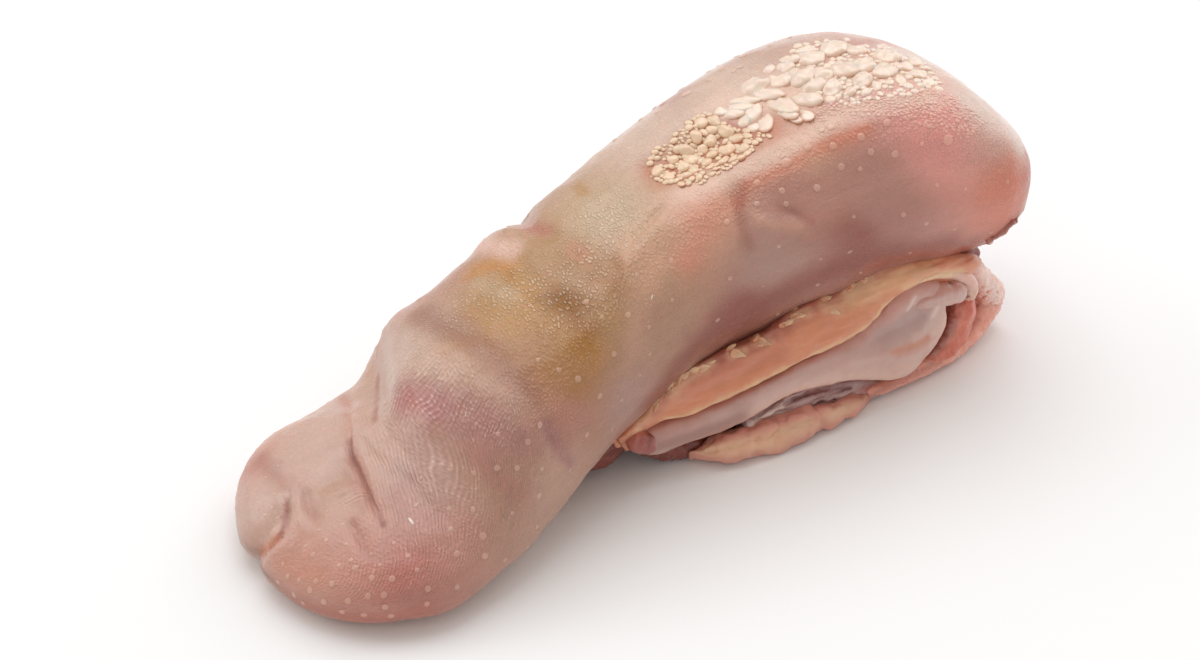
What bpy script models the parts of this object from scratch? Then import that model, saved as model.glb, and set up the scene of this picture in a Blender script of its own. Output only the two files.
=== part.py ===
"""Raw lamb tongue with its root trimmings, lying on its underside: tip at -X, cut root at +X, near side at -Y.

The tongue is one piece of meat, so everything here is fused into one solid that rests on flat spots at Z = 0.
Tables are in millimetres and meshes in metres. The origin is the bottom centre of the solid's box.
"""

import math
import random
from collections import namedtuple

import bmesh
import bpy
import numpy as np
from mathutils import Vector
from mathutils.bvhtree import BVHTree

MM = 0.001

# Driving sizes of the whole tongue
TIP_X, ROOT_X = -61.2, 73.0
TIP_ROUND, TIP_THIN, ROOT_ROUND = 22.0, 7.5, 13.0
TIP_SQUARE, ROOT_SQUARE = 2.2, 2.4
BODY_RINGS, BODY_SIDES = 74, 40
TIP_BIAS, END_BIAS, CREST_SHARE = 1.2, 0.55, 0.62
SWEEP_RINGS, SWEEP_SIDES, SWEEP_ROUND = 22, 12, 1.1
FLOOR_CUT, FLOOR_SIZE = 0.35, 300.0

# One cross-section: where it is, its two edges, its crest and underside, its widest height, and how square it is
Section = namedtuple("Section", "x near far top low wide square")
BODY = [
    Section(-63, -21.0, 24.5, 9.5, -0.5, 4.5, 2.3),
    Section(-50, -21.5, 25.0, 13.0, -0.5, 5.0, 2.4),
    Section(-38, -21.5, 24.6, 15.0, -0.5, 6.0, 2.4),
    Section(-32, -20.5, 23.6, 17.8, 0.0, 8.0, 2.4),
    Section(-26, -19.5, 24.0, 26.5, 0.5, 10.5, 2.6),
    Section(-18, -17.5, 23.5, 31.0, 3.0, 14.0, 2.6),
    Section(-8, -15.0, 22.5, 35.5, 6.5, 18.0, 2.6),
    Section(4, -13.5, 22.5, 39.5, 9.0, 23.0, 2.6),
    Section(16, -13.5, 23.0, 43.5, 12.0, 27.0, 2.7),
    Section(28, -16.0, 23.5, 47.0, 15.0, 30.0, 2.8),
    Section(40, -19.0, 23.0, 50.0, 17.0, 32.0, 2.9),
    Section(52, -22.5, 20.8, 51.6, 19.0, 33.0, 2.8),
    Section(64, -25.0, 16.4, 48.3, 20.0, 33.0, 2.6),
    Section(74, -26.0, 12.0, 41.5, 21.0, 32.0, 2.4),
]

# A fold or hollow pressed into a face along a path, or a swelling where the depth is negative.
# A sharp one is a crease with a narrow foot; its lips are the skin that bulges beside it, left and right of the path.
Fold = namedtuple("Fold", "name face path depth width sharp left right")
FOLDS = [
    Fold("tip fold", "top", [(-32, 19.5), (-34.5, 17.5), (-40.4, 9), (-43.2, 1), (-46, -8)], 2.4, 1.3, True, 1.0, 0.4),
    Fold("corner fold", "top", [(-51, 18), (-52.2, 8), (-54.2, 4.4), (-57, 2.6), (-62, 4)], 1.7, 1.2, True, 0.5, 0.5),
    Fold("tip dent", "top", [(-50.6, 5.6), (-51.6, 2), (-52.5, -2)], 0.8, 1.4, False, 0.1, 0.1),
    Fold("side fold", "top", [(-49.2, -4), (-49.8, -8), (-51, -13)], 1.1, 1.3, True, 0.4, 0.1),
    Fold("far step", "top", [(-29, 21), (-31.4, 15.5), (-36.5, 8)], 0.9, 1.5, False, 0.4, 0.0),
    Fold("waist valley", "top", [(-24, 17), (-23, 5.5), (-22.4, -7), (-19, -14)], 2.4, 4.0, False, 0.0, 0.0),
    Fold("waist dent", "top", [(-25, -13), (-20.8, -17)], 1.0, 2.4, False, 0.0, 0.0),
    Fold("stained hollow", "top", [(-3, -2), (-8, -5), (-14, -8)], 1.2, 4.0, False, 0.0, 0.0),
    Fold("far notch", "top", [(-4, 19), (-2.7, 12.5), (1, 10)], 1.9, 2.2, False, 0.3, 0.3),
    Fold("step bump", "top", [(-23.0, 20), (-23, 10)], -2.4, 4.6, False, 0.0, 0.0),
    Fold("near hump", "top", [(-33, 6), (-30, -14)], -1.6, 4.6, False, 0.0, 0.0),
    Fold("far knob", "top", [(-9.5, 21), (-8.5, 14)], -1.6, 3.2, False, 0.0, 0.0),
    Fold("neck ridge", "top", [(8, -3.5), (2, -4.5), (-2, -8), (-6, -12)], -0.9, 2.6, False, 0.0, 0.0),
    Fold("papilla bed", "top", [(14, 5.5), (26, 4.5), (41, 2.5), (58, -5)], 0.8, 4.5, False, 0.0, 0.0),
    Fold("shoulder ridge", "top", [(11, -6), (24, -7), (35, -8), (50, -12)], -0.9, 2.8, False, 0.0, 0.0),
    Fold("wall fold", "near", [(23, 45), (20, 42), (18.6, 39), (18.6, 33)], 1.1, 1.3, False, 0.4, 0.2),
    Fold("wall pinch", "near", [(21, 42), (25, 41), (31, 40.5)], 0.7, 1.4, False, 0.0, 0.0),
    Fold("wall hollow", "near", [(22, 40), (39, 44), (50, 44), (60, 39)], 1.2, 3.4, False, 0.0, 0.0),
    Fold("wall swell", "near", [(8, 32), (30, 35), (50, 35), (68, 33)], -1.4, 5.0, False, 0.0, 0.0),
    Fold("tip notch", "front", [(4.0, 11), (5.0, 5), (5.0, 0)], 1.8, 3.0, False, 0.5, 0.2),
]

# An oval sweep: the centre, the two half-axes, and how far its long axis leans out at the foot, in degrees
Ring = namedtuple("Ring", "x y z thick tall lean")
NEAR_STRIP = [
    Ring(-4, -10.5, 9.5, 1.2, 1.8, 10),
    Ring(4, -12.0, 13.0, 2.2, 4.0, 12),
    Ring(14, -13.6, 16.0, 2.8, 5.2, 14),
    Ring(26, -15.8, 18.0, 3.0, 5.8, 16),
    Ring(38, -17.0, 19.5, 3.0, 5.6, 14),
    Ring(48, -19.0, 21.5, 3.0, 4.2, 8),
    Ring(56, -20.5, 21.5, 2.4, 3.0, 0),
]
NEAR_FLAP = [
    Ring(-1, -9.5, 5.0, 2.6, 3.2, 0),
    Ring(6, -12.0, 6.6, 3.2, 4.0, 0),
    Ring(16, -15.2, 8.6, 3.4, 4.6, 4),
    Ring(28, -17.6, 10.2, 3.4, 5.0, 6),
    Ring(38, -18.6, 11.0, 3.8, 5.6, 6),
    Ring(46, -19.6, 12.6, 4.0, 6.6, 4),
    Ring(53, -19.4, 13.4, 2.8, 5.4, 0),
]
FAT_LOBES = [
    Ring(7, -12.0, 2.0, 2.6, 2.4, 0),
    Ring(14, -15.4, 2.9, 3.4, 3.4, 0),
    Ring(24, -17.4, 3.1, 3.6, 3.6, 0),
    Ring(34, -18.0, 3.0, 3.2, 3.4, 0),
    Ring(42, -17.0, 3.0, 2.4, 2.6, 0),
]
FAR_STRIP = [
    Ring(-2, 15.0, 11.0, 1.4, 2.2, 8),
    Ring(8, 17.2, 15.0, 2.4, 4.2, 12),
    Ring(22, 20.0, 18.0, 2.8, 5.4, 12),
    Ring(36, 20.6, 19.5, 2.8, 5.2, 10),
    Ring(50, 18.4, 21.0, 2.4, 4.0, 4),
    Ring(58, 16.0, 22.0, 1.8, 2.6, 0),
]
FAR_FLAP = [
    Ring(2, 13.0, 5.0, 2.6, 3.4, 0),
    Ring(14, 17.0, 7.0, 3.4, 4.6, -4),
    Ring(28, 20.0, 9.4, 3.6, 5.2, -6),
    Ring(42, 19.4, 10.6, 3.6, 5.4, -4),
    Ring(54, 16.4, 11.4, 2.6, 4.4, 0),
]
ROOT_CORE = [
    Ring(-26, 2.0, 3.2, 8.0, 2.6, 0),
    Ring(-12, 2.0, 4.4, 10.0, 4.8, 0),
    Ring(6, 2.0, 8.6, 12.5, 9.2, 0),
    Ring(20, 2.0, 11.0, 15.0, 12.0, 0),
    Ring(36, 1.0, 12.5, 16.5, 13.5, 0),
    Ring(50, -1.0, 13.5, 16.0, 14.5, 0),
    Ring(62, -3.5, 15.0, 17.0, 14.5, 0),
    Ring(70, -4.5, 16.5, 15.5, 12.5, 0),
]
ROOT_FLAP = [
    Ring(38, -13.0, 4.5, 6.0, 5.0, 0),
    Ring(48, -14.0, 5.5, 6.2, 6.0, 0),
    Ring(58, -14.5, 7.0, 5.8, 7.0, 0),
    Ring(66, -14.5, 8.0, 4.8, 5.6, 0),
    Ring(73, -14.5, 8.0, 3.2, 3.6, 0),
]
TRIMMINGS = {
    "near_strip": NEAR_STRIP,
    "near_flap": NEAR_FLAP,
    "fat_lobes": FAT_LOBES,
    "far_strip": FAR_STRIP,
    "far_flap": FAR_FLAP,
    "root_core": ROOT_CORE,
    "root_flap": ROOT_FLAP,
}

# Warty papillae along the crest: where each stretch of the band is, how wide, how big and how many
Patch = namedtuple("Patch", "path half_width radius count stretch")
PATCHES = [
    Patch([(16.5, 7.0), (27.5, 5.5)], 4.4, (0.8, 1.35), 34, 1.15),
    Patch([(29.0, 6.0), (37.0, 4.5)], 3.8, (1.3, 1.9), 9, 2.2),
    Patch([(38.5, 4.5), (48.0, 3.5), (57.0, -3.5)], 4.6, (1.3, 2.2), 24, 1.25),
]
SEED, TRIES = 7, 300
CROWDING, PAPILLA_HEIGHT = 0.86, 0.75
ABOVE = 80.0


def along(stations, x):
    """Every value of a table of stations at x, on a smooth curve through the stations."""
    table = np.array([list(row) for row in stations], float)
    xs = table[:, 0]
    slopes = np.gradient(table, xs, axis=0)
    x = min(max(x, xs[0]), xs[-1])
    i = min(int(np.searchsorted(xs, x, "right")) - 1, len(xs) - 2)
    span = xs[i + 1] - xs[i]
    t = (x - xs[i]) / span
    a, b = table[i], table[i + 1]
    ma, mb = slopes[i] * span, slopes[i + 1] * span
    return (
        (2 * t**3 - 3 * t**2 + 1) * a
        + (t**3 - 2 * t**2 + t) * ma
        + (3 * t**2 - 2 * t**3) * b
        + (t**3 - t**2) * mb
    )


def end_shrink(distance, reach, power=2.0):
    """How much of its full size a section keeps at this distance from the end of a rounded tip."""
    t = 1 - min(max(distance / reach, 0.0), 1.0)
    return max(1 - t**power, 0.0) ** (1 / power)


def body_point(x, angle):
    """A point of the tongue's skin before its folds. Angle 0 faces the far side and 90 degrees the crest."""
    s = Section(*along(BODY, x))
    middle, half = (s.near + s.far) / 2, (s.far - s.near) / 2
    tip, root = x - TIP_X, ROOT_X - x
    root_size = end_shrink(root, ROOT_ROUND, ROOT_SQUARE)
    across = end_shrink(tip, TIP_ROUND, TIP_SQUARE) * root_size
    high = end_shrink(tip, TIP_THIN) * root_size
    c, n = math.cos(angle), math.sin(angle)
    power = 2 / s.square
    reach = s.top - s.wide if n > 0 else s.wide - s.low
    y = middle + half * across * math.copysign(abs(c) ** power, c)
    z = s.wide + reach * high * math.copysign(abs(n) ** power, n)
    return np.array([x, y, z])


def smooth_path(path, steps=6):
    """A flat path rounded off: points on a Catmull-Rom curve through the given ones."""
    ends = [2 * np.array(path[0], float) - path[1], *path, 2 * np.array(path[-1], float) - path[-2]]
    knots = np.array([np.array(k, float) for k in ends])
    curve = []
    for a, b, c, d in zip(knots[:-3], knots[1:-2], knots[2:-1], knots[3:]):
        for t in np.arange(steps) / steps:
            bend = (2 * a - 5 * b + 4 * c - d) * t**2 + (3 * b - a - 3 * c + d) * t**3
            curve.append(b + ((c - a) * t + bend) / 2)
    return np.array([*curve, knots[-2]])


def path_distance(points, path):
    """Signed distance of each point from a path, positive on its left, and how far along the path it lies, 0 to 1."""
    best = np.full(len(points), 1e9)
    signed, share = np.zeros(len(points)), np.zeros(len(points))
    curve = smooth_path(path)
    steps = len(curve) - 1
    for i, (a, b) in enumerate(zip(curve[:-1], curve[1:])):
        run = b - a
        t = np.clip(((points - a) @ run) / (run @ run), 0, 1)
        gap = points - a - t[:, None] * run
        distance = np.linalg.norm(gap, axis=1)
        nearer = distance < best
        turn = run[0] * gap[:, 1] - run[1] * gap[:, 0]
        signed = np.where(nearer, np.copysign(distance, turn), signed)
        share = np.where(nearer, (i + t) / steps, share)
        best = np.minimum(best, distance)
    return signed, share


# The plane and the outward direction of each face, and how a fold fades towards its ends and off its face
FACES = {"top": ([0, 1], (0, 0, 1)), "near": ([0, 2], (0, -1, 0)), "front": ([1, 2], (-1, 0, 0))}
TAPER, END_DEPTH = 0.22, 0.25
FACE_EDGE, FACE_FADE = 0.05, 0.35
LIP_PLACE, LIP_SPREAD = 2.6, 1.8


def relief(points, normals):
    """How far each skin point moves out along its normal for the folds, hollows and swellings."""
    total = np.zeros(len(points))
    for fold in FOLDS:
        plane, outward = FACES[fold.face]
        facing = np.clip((normals @ np.array(outward, float) - FACE_EDGE) / FACE_FADE, 0, 1)
        distance, share = path_distance(points[:, plane], fold.path)
        taper = np.clip(np.minimum(share, 1 - share) / TAPER, 0, 1)
        weight = facing * (END_DEPTH + (1 - END_DEPTH) * np.sin(taper * math.pi / 2))
        reach = np.abs(distance) / fold.width
        valley = np.exp(-reach) * (1 + reach) ** 0.5 if fold.sharp else np.exp(-(reach**2))
        lip = np.exp(-((reach - LIP_PLACE) ** 2) / LIP_SPREAD) * np.where(distance > 0, fold.left, fold.right)
        total += weight * (lip - fold.depth * valley)
    return total


def side_angle(j):
    """The angle of the j-th point round a section: the crest side has more of them than the underside."""
    t = j / BODY_SIDES
    if t < CREST_SHARE:
        return math.pi * t / CREST_SHARE
    return math.pi * (1 + (t - CREST_SHARE) / (1 - CREST_SHARE))


def body_mesh():
    """The tongue's skin: rings of oval sections from tip to root, closed at both ends, with its folds pressed in."""
    bm = bmesh.new()
    middle, reach = (TIP_X + ROOT_X) / 2, (ROOT_X - TIP_X) / 2
    rings = []
    for i in range(1, BODY_RINGS):
        # rings stand closer together at the folded tip and at both ends, where the skin turns over
        t = 2 * (i / BODY_RINGS) ** TIP_BIAS - 1
        x = middle + reach * (END_BIAS * math.sin(t * math.pi / 2) + (1 - END_BIAS) * t)
        ring = [body_point(x, side_angle(j)) for j in range(BODY_SIDES)]
        rings.append([bm.verts.new(p) for p in ring])
    for a, b in zip(rings[:-1], rings[1:]):
        for j in range(BODY_SIDES):
            k = (j + 1) % BODY_SIDES
            bm.faces.new((a[j], b[j], b[k], a[k]))
    for ring, x in ((rings[0], TIP_X), (rings[-1], ROOT_X)):
        pole = bm.verts.new(body_point(x, 0))
        for j in range(BODY_SIDES):
            bm.faces.new((ring[j], ring[(j + 1) % BODY_SIDES], pole))
    bmesh.ops.recalc_face_normals(bm, faces=bm.faces)
    bm.normal_update()
    points = np.array([v.co for v in bm.verts])
    normals = np.array([v.normal for v in bm.verts])
    for v, move in zip(bm.verts, relief(points, normals)):
        v.co += v.normal * move
    return bm


def sweep_mesh(stations):
    """An oval sweep along X with rounded ends: a strip, a flap, a lobe of fat or a muscle."""
    bm = bmesh.new()
    first, last = stations[0].x, stations[-1].x
    loops = []
    for i in range(1, SWEEP_RINGS):
        t = i / SWEEP_RINGS
        x = first + (last - first) * (0.5 - 0.5 * math.cos(math.pi * t))
        r = Ring(*along(stations, x))
        reach = SWEEP_ROUND * min(r.thick, r.tall)
        size = end_shrink(min(x - first, last - x), reach)
        lean = math.radians(r.lean)
        loop = []
        for j in range(SWEEP_SIDES):
            a = 2 * math.pi * j / SWEEP_SIDES
            across, up = r.thick * size * math.cos(a), r.tall * size * math.sin(a)
            y = r.y + across * math.cos(lean) + up * math.sin(lean)
            z = r.z - across * math.sin(lean) + up * math.cos(lean)
            loop.append(bm.verts.new((x, y, z)))
        loops.append(loop)
    for a, b in zip(loops[:-1], loops[1:]):
        for j in range(SWEEP_SIDES):
            k = (j + 1) % SWEEP_SIDES
            bm.faces.new((a[j], b[j], b[k], a[k]))
    for loop, station in ((loops[0], stations[0]), (loops[-1], stations[-1])):
        pole = bm.verts.new((station.x, station.y, station.z))
        for j in range(SWEEP_SIDES):
            bm.faces.new((loop[j], loop[(j + 1) % SWEEP_SIDES], pole))
    bmesh.ops.recalc_face_normals(bm, faces=bm.faces)
    return bm


def point_on(path, share):
    """The point and the direction of a flat path at a share of its length, 0 to 1."""
    curve = smooth_path(path)
    lengths = np.concatenate([[0], np.cumsum(np.linalg.norm(np.diff(curve, axis=0), axis=1))])
    at = share * lengths[-1]
    i = min(int(np.searchsorted(lengths, at, "right")) - 1, len(curve) - 2)
    run = curve[i + 1] - curve[i]
    return curve[i] + run * (at - lengths[i]) / (lengths[i + 1] - lengths[i]), run / np.linalg.norm(run)


def papilla_places(skin):
    """Each warty papilla's place on the crest, its outward direction, its size and its stretch along the crest."""
    draw = random.Random(SEED)
    places = []
    for patch in PATCHES:
        small, large = patch.radius
        sizes = sorted((draw.uniform(small, large) for _ in range(patch.count)), reverse=True)
        for size in sizes:
            for _ in range(TRIES):
                middle, run = point_on(patch.path, draw.random())
                side = draw.uniform(-patch.half_width, patch.half_width)
                x, y = middle + side * np.array([-run[1], run[0]])
                gaps = (math.hypot(x - p[0].x, y - p[0].y) - CROWDING * (size + p[2]) for p in places)
                if all(gap > 0 for gap in gaps):
                    spot, normal = skin.ray_cast(Vector((x, y, ABOVE)), Vector((0, 0, -1)))[:2]
                    places.append((spot, normal, size, patch.stretch))
                    break
    return places


def papilla_mesh(spot, normal, size, stretch):
    """One low rounded papilla, half sunk in the skin."""
    bm = bmesh.new()
    bmesh.ops.create_icosphere(bm, subdivisions=1, radius=size)
    bmesh.ops.scale(bm, vec=(stretch, 1, PAPILLA_HEIGHT), verts=bm.verts)
    turn = normal.to_track_quat("Z", "Y").to_matrix()
    bmesh.ops.rotate(bm, matrix=turn, verts=bm.verts)
    bmesh.ops.translate(bm, vec=spot, verts=bm.verts)
    return bm


def as_object(name, bm, material, collection):
    """A mesh in millimetres turned into an object in metres."""
    bmesh.ops.scale(bm, vec=(MM, MM, MM), verts=bm.verts)
    mesh = bpy.data.meshes.new(name)
    bm.to_mesh(mesh)
    bm.free()
    mesh.materials.append(material)
    obj = bpy.data.objects.new(name, mesh)
    collection.objects.link(obj)
    return obj


def boolean(obj, operation, solver, **operand):
    """A Boolean with an object or a whole collection, applied to the object's mesh."""
    modifier = obj.modifiers.new(operation.lower(), "BOOLEAN")
    modifier.operation = operation
    modifier.solver = solver
    for name, value in operand.items():
        setattr(modifier, name, value)
    bpy.context.view_layer.update()
    shape = obj.evaluated_get(bpy.context.evaluated_depsgraph_get())
    mesh = bpy.data.meshes.new_from_object(shape)
    obj.modifiers.clear()
    obj.data = mesh


def clear_collection(collection):
    """Take a collection of used pieces out of the scene."""
    for obj in list(collection.objects):
        bpy.data.objects.remove(obj)
    bpy.data.collections.remove(collection)


def clean(mesh):
    """Keep the one outer shell, and stand it on Z = 0 with its box centred on the origin."""
    bm = bmesh.new()
    bm.from_mesh(mesh)
    waiting, shells = set(bm.faces), []
    while waiting:
        shell, front = set(), [waiting.pop()]
        while front:
            face = front.pop()
            shell.add(face)
            near = {other for edge in face.edges for other in edge.link_faces} & waiting
            waiting -= near
            front.extend(near)
        shells.append(shell)
    shells.sort(key=len)
    scraps = [face for shell in shells[:-1] for face in shell]
    bmesh.ops.delete(bm, geom=scraps, context="FACES")
    bmesh.ops.triangulate(bm, faces=bm.faces)
    low = [min(v.co[axis] for v in bm.verts) for axis in range(3)]
    high = [max(v.co[axis] for v in bm.verts) for axis in range(3)]
    middle = Vector(((low[0] + high[0]) / 2, (low[1] + high[1]) / 2, low[2]))
    bmesh.ops.translate(bm, vec=-middle, verts=bm.verts)
    bm.to_mesh(mesh)
    bm.free()
    mesh.shade_smooth()


def flesh_material():
    """Pale pink raw tongue, faintly wet."""
    material = bpy.data.materials.new("raw_tongue")
    material.use_nodes = True
    shader = material.node_tree.nodes["Principled BSDF"]
    shader.inputs["Base Color"].default_value = (0.62, 0.36, 0.29, 1)
    shader.inputs["Roughness"].default_value = 0.42
    shader.inputs["Metallic"].default_value = 0.0
    return material


def main():
    for obj in list(bpy.data.objects):
        bpy.data.objects.remove(obj)
    scene = bpy.context.scene.collection
    flesh = flesh_material()

    # the bare tongue, with a copy of its skin that the papillae are set on
    body = body_mesh()
    skin = BVHTree.FromBMesh(body)
    tongue = as_object("lamb_tongue", body, flesh, scene)

    # the trimmings of the root and the papillae, fused to it by one union
    pieces = bpy.data.collections.new("pieces")
    scene.children.link(pieces)
    for name, stations in TRIMMINGS.items():
        as_object(name, sweep_mesh(stations), flesh, pieces)
    for place in papilla_places(skin):
        as_object("papilla", papilla_mesh(*place), flesh, pieces)
    boolean(tongue, "UNION", "MANIFOLD", operand_type="COLLECTION", collection=pieces)
    clear_collection(pieces)

    # the flat spots that it rests on
    floor = bmesh.new()
    bmesh.ops.create_cube(floor, size=FLOOR_SIZE)
    bmesh.ops.translate(floor, vec=(0, 0, FLOOR_CUT - FLOOR_SIZE / 2), verts=floor.verts)
    cutter = as_object("floor", floor, flesh, scene)
    boolean(tongue, "DIFFERENCE", "MANIFOLD", object=cutter)
    bpy.data.objects.remove(cutter)

    clean(tongue.data)


main()
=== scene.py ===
# Raw lamb tongue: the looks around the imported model. Sizes are in mm in the tongue's own layout,
# tip at -X, cut root at +X, the side towards the camera at -Y, and home carries them to the frame's origin.
import math
import random

import bpy
import numpy as np
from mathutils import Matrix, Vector, noise
from mathutils.bvhtree import BVHTree
from mathutils.kdtree import KDTree


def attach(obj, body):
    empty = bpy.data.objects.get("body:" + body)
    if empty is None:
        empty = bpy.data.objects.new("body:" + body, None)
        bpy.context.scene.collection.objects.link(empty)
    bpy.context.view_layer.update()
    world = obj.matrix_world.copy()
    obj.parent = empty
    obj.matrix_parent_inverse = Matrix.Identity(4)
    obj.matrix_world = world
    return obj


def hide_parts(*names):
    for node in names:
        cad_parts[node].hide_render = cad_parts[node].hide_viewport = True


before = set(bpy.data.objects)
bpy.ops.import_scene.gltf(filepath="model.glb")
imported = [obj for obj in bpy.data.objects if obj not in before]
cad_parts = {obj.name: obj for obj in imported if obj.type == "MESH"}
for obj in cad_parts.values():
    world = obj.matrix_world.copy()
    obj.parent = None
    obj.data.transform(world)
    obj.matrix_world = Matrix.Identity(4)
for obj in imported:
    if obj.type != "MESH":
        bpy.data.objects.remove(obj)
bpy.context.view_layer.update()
print("tongue: frame loaded")

mm = 0.001
home = np.array([-5.97, 0.34, -0.35])

# The photograph's camera, also used to place things by the photograph's pixels
photo = {
    "width": 1200, "height": 660, "azimuth": -37.0, "elevation": 38.0, "lens": 85.0, "sensor": 36.0,
    "distance": 436.0, "target": (0.0, 0.0, 22.0),
}


def viewAxes():
    a, e = math.radians(photo["azimuth"]), math.radians(photo["elevation"])
    back = np.array([math.sin(a) * math.cos(e), -math.cos(a) * math.cos(e), math.sin(e)])
    right = np.cross(-back, [0, 0, 1])
    right /= np.linalg.norm(right)
    return back, right, np.cross(right, -back)


back, right, up = viewAxes()
eye = np.array(photo["target"]) + back * photo["distance"]
zoom = photo["lens"] / photo["sensor"] * photo["width"]


def rayThrough(pixels):  # directions from the eye through pixels of the photograph's frame
    p = np.atleast_2d(np.array(pixels, float))
    x, y = (p[:, 0] - photo["width"] / 2) / zoom, (p[:, 1] - photo["height"] / 2) / zoom
    return -back + x[:, None] * right - y[:, None] * up


def ontoCurtain(pixels, depth):  # pixels carried out to an upright curtain that stands at y along x
    ray = rayThrough(pixels)
    stations = np.array(depth, float)
    x = np.zeros(len(ray))
    for _ in range(20):
        y = np.interp(x, stations[:, 0], stations[:, 1])
        x = eye[0] + ray[:, 0] * (y - eye[1]) / ray[:, 1]
    return eye + ray * ((y - eye[1]) / ray[:, 1])[:, None]


# Curves and tables
def smoothCurve(points, count):  # evenly spaced points on a smooth curve through the given ones
    p = np.array(points, float)
    p = np.vstack([2 * p[0] - p[1], p, 2 * p[-1] - p[-2]])
    fine = []
    for a, b, c, d in zip(p[:-3], p[1:-2], p[2:-1], p[3:]):
        for t in np.arange(12) / 12:
            bend = (2 * a - 5 * b + 4 * c - d) * t**2 + (3 * b - a - 3 * c + d) * t**3
            fine.append(b + ((c - a) * t + bend) / 2)
    fine = np.array([*fine, p[-2]])
    run = np.concatenate([[0], np.cumsum(np.linalg.norm(np.diff(fine, axis=0), axis=1))])
    at = np.linspace(0, run[-1], count)
    return np.stack([np.interp(at, run, fine[:, k]) for k in range(fine.shape[1])], 1)


def alongTable(table, x):  # each row's values at x, on a smooth curve through the rows
    rows = np.array(table, float)
    xs = rows[:, 0]
    slopes = np.gradient(rows, xs, axis=0)
    x = np.clip(x, xs[0], xs[-1])
    i = np.clip(np.searchsorted(xs, x, "right") - 1, 0, len(xs) - 2)
    span = (xs[i + 1] - xs[i])[:, None]
    t = (x - xs[i])[:, None] / span
    a, b, da, db = rows[i], rows[i + 1], slopes[i] * span, slopes[i + 1] * span
    return ((2 * t**3 - 3 * t**2 + 1) * a + (t**3 - 2 * t**2 + t) * da
            + (3 * t**2 - 2 * t**3) * b + (t**3 - t**2) * db)


def endShrink(distance, reach, power=2.0):  # the share of its size that a section keeps near a round end
    t = 1 - np.clip(distance / reach, 0, 1)
    return np.maximum(1 - t**power, 0) ** (1 / power)


def lumps(points, size, seed=0):  # soft noise, about -1 to 1, with lumps of this size in mm
    start = Vector((seed * 7.3, seed * 3.1, seed))
    return np.array([noise.noise(Vector(p) / size + start) for p in points]) * 1.8


def fibres(points, size, stretch, seed=0):
    return lumps(points / np.array(stretch), size, seed)


def pathDistance(points, curve):  # from a polyline: distance, signed side in 2-D, share along it and gap
    best = np.full(len(points), 1e9)
    side, share = np.ones(len(points)), np.zeros(len(points))
    gaps = np.zeros_like(points)
    for i, (a, b) in enumerate(zip(curve[:-1], curve[1:])):
        run = b - a
        t = np.clip((points - a) @ run / max(run @ run, 1e-9), 0, 1)
        gap = points - a - t[:, None] * run
        distance = np.linalg.norm(gap, axis=1)
        near = distance < best
        if len(run) == 2:
            side = np.where(near, np.sign(run[0] * gap[:, 1] - run[1] * gap[:, 0]), side)
        share = np.where(near, (i + t) / (len(curve) - 1), share)
        gaps[near] = gap[near]
        best = np.minimum(best, distance)
    return best, side, share, gaps


# Modelling helpers
eyeReach = range(350, 530, 4)  # how far from the eye, in mm, a ray may pass beside a piece


def alone():
    if bpy.context.object and bpy.context.object.mode != "OBJECT":
        bpy.ops.object.mode_set(mode="OBJECT")
    bpy.ops.object.select_all(action="DESELECT")


def readPoints(piece, name):  # "co" or "normal" of each point
    values = np.empty(len(piece.data.vertices) * 3)
    piece.data.vertices.foreach_get(name, values)
    return values.reshape(-1, 3)


def pointsOf(piece):
    return readPoints(piece, "co")


def normalsOf(piece):
    return readPoints(piece, "normal")


def movePoints(piece, co):
    piece.data.vertices.foreach_set("co", np.ascontiguousarray(co).ravel())
    piece.data.update()


def setHome(piece):  # from mm in the tongue's layout to metres in the frame
    movePoints(piece, (pointsOf(piece) + home) * mm)


def faceOut(piece):
    alone()
    piece.select_set(True)
    bpy.context.view_layer.objects.active = piece
    bpy.ops.object.mode_set(mode="EDIT")
    bpy.ops.mesh.select_all(action="SELECT")
    bpy.ops.mesh.normals_make_consistent(inside=False)
    bpy.ops.object.mode_set(mode="OBJECT")
    bpy.ops.object.shade_smooth()


def roundForm(name, around, along, place):  # a sphere whose rings become the sections of a long closed form
    alone()
    bpy.ops.mesh.primitive_uv_sphere_add(segments=around, ring_count=along, radius=1)
    piece = bpy.context.object
    piece.name = piece.data.name = name
    co = pointsOf(piece)
    share = np.arccos(np.clip(-co[:, 2], -1, 1)) / math.pi
    turn = np.arctan2(co[:, 1], co[:, 0]) % (2 * math.pi)
    turn[turn > 2 * math.pi - 1e-4] = 0
    movePoints(piece, place(np.round(share * along) / along, turn))
    faceOut(piece)
    return piece


def setAttribute(piece, name, values, kind="FLOAT"):
    layer = piece.data.attributes.new(name, kind, "POINT")
    values = np.array(values, np.float32)
    if kind == "FLOAT_COLOR":
        values = np.column_stack([values, np.ones(len(values), np.float32)])
    field = {"FLOAT": "value", "FLOAT_COLOR": "color", "FLOAT_VECTOR": "vector"}[kind]
    layer.data.foreach_set(field, values.ravel())


def treeOf(piece):
    return BVHTree.FromPolygons(pointsOf(piece).tolist(), [list(p.vertices) for p in piece.data.polygons])


def throughPixels(pixels, tree):  # where the photograph's pixels fall on a piece, and its normals there
    spots, outward = [], []
    for ray in rayThrough(pixels):
        hit, normal = tree.ray_cast(Vector(eye), Vector(ray).normalized())[:2]
        if hit is None:  # just beside the piece: where it comes nearest to the ray
            passed = [tree.find_nearest(Vector(eye + ray * reach)) for reach in eyeReach]
            hit, normal = min(passed, key=lambda found: found[3])[:2]
        spots.append(hit)
        outward.append(normal)
    return np.array(spots), np.array(outward)


# Materials
bloodReach = (1.0, 0.35, 0.2)  # how far light spreads in the meat, for red, green and blue


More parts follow.
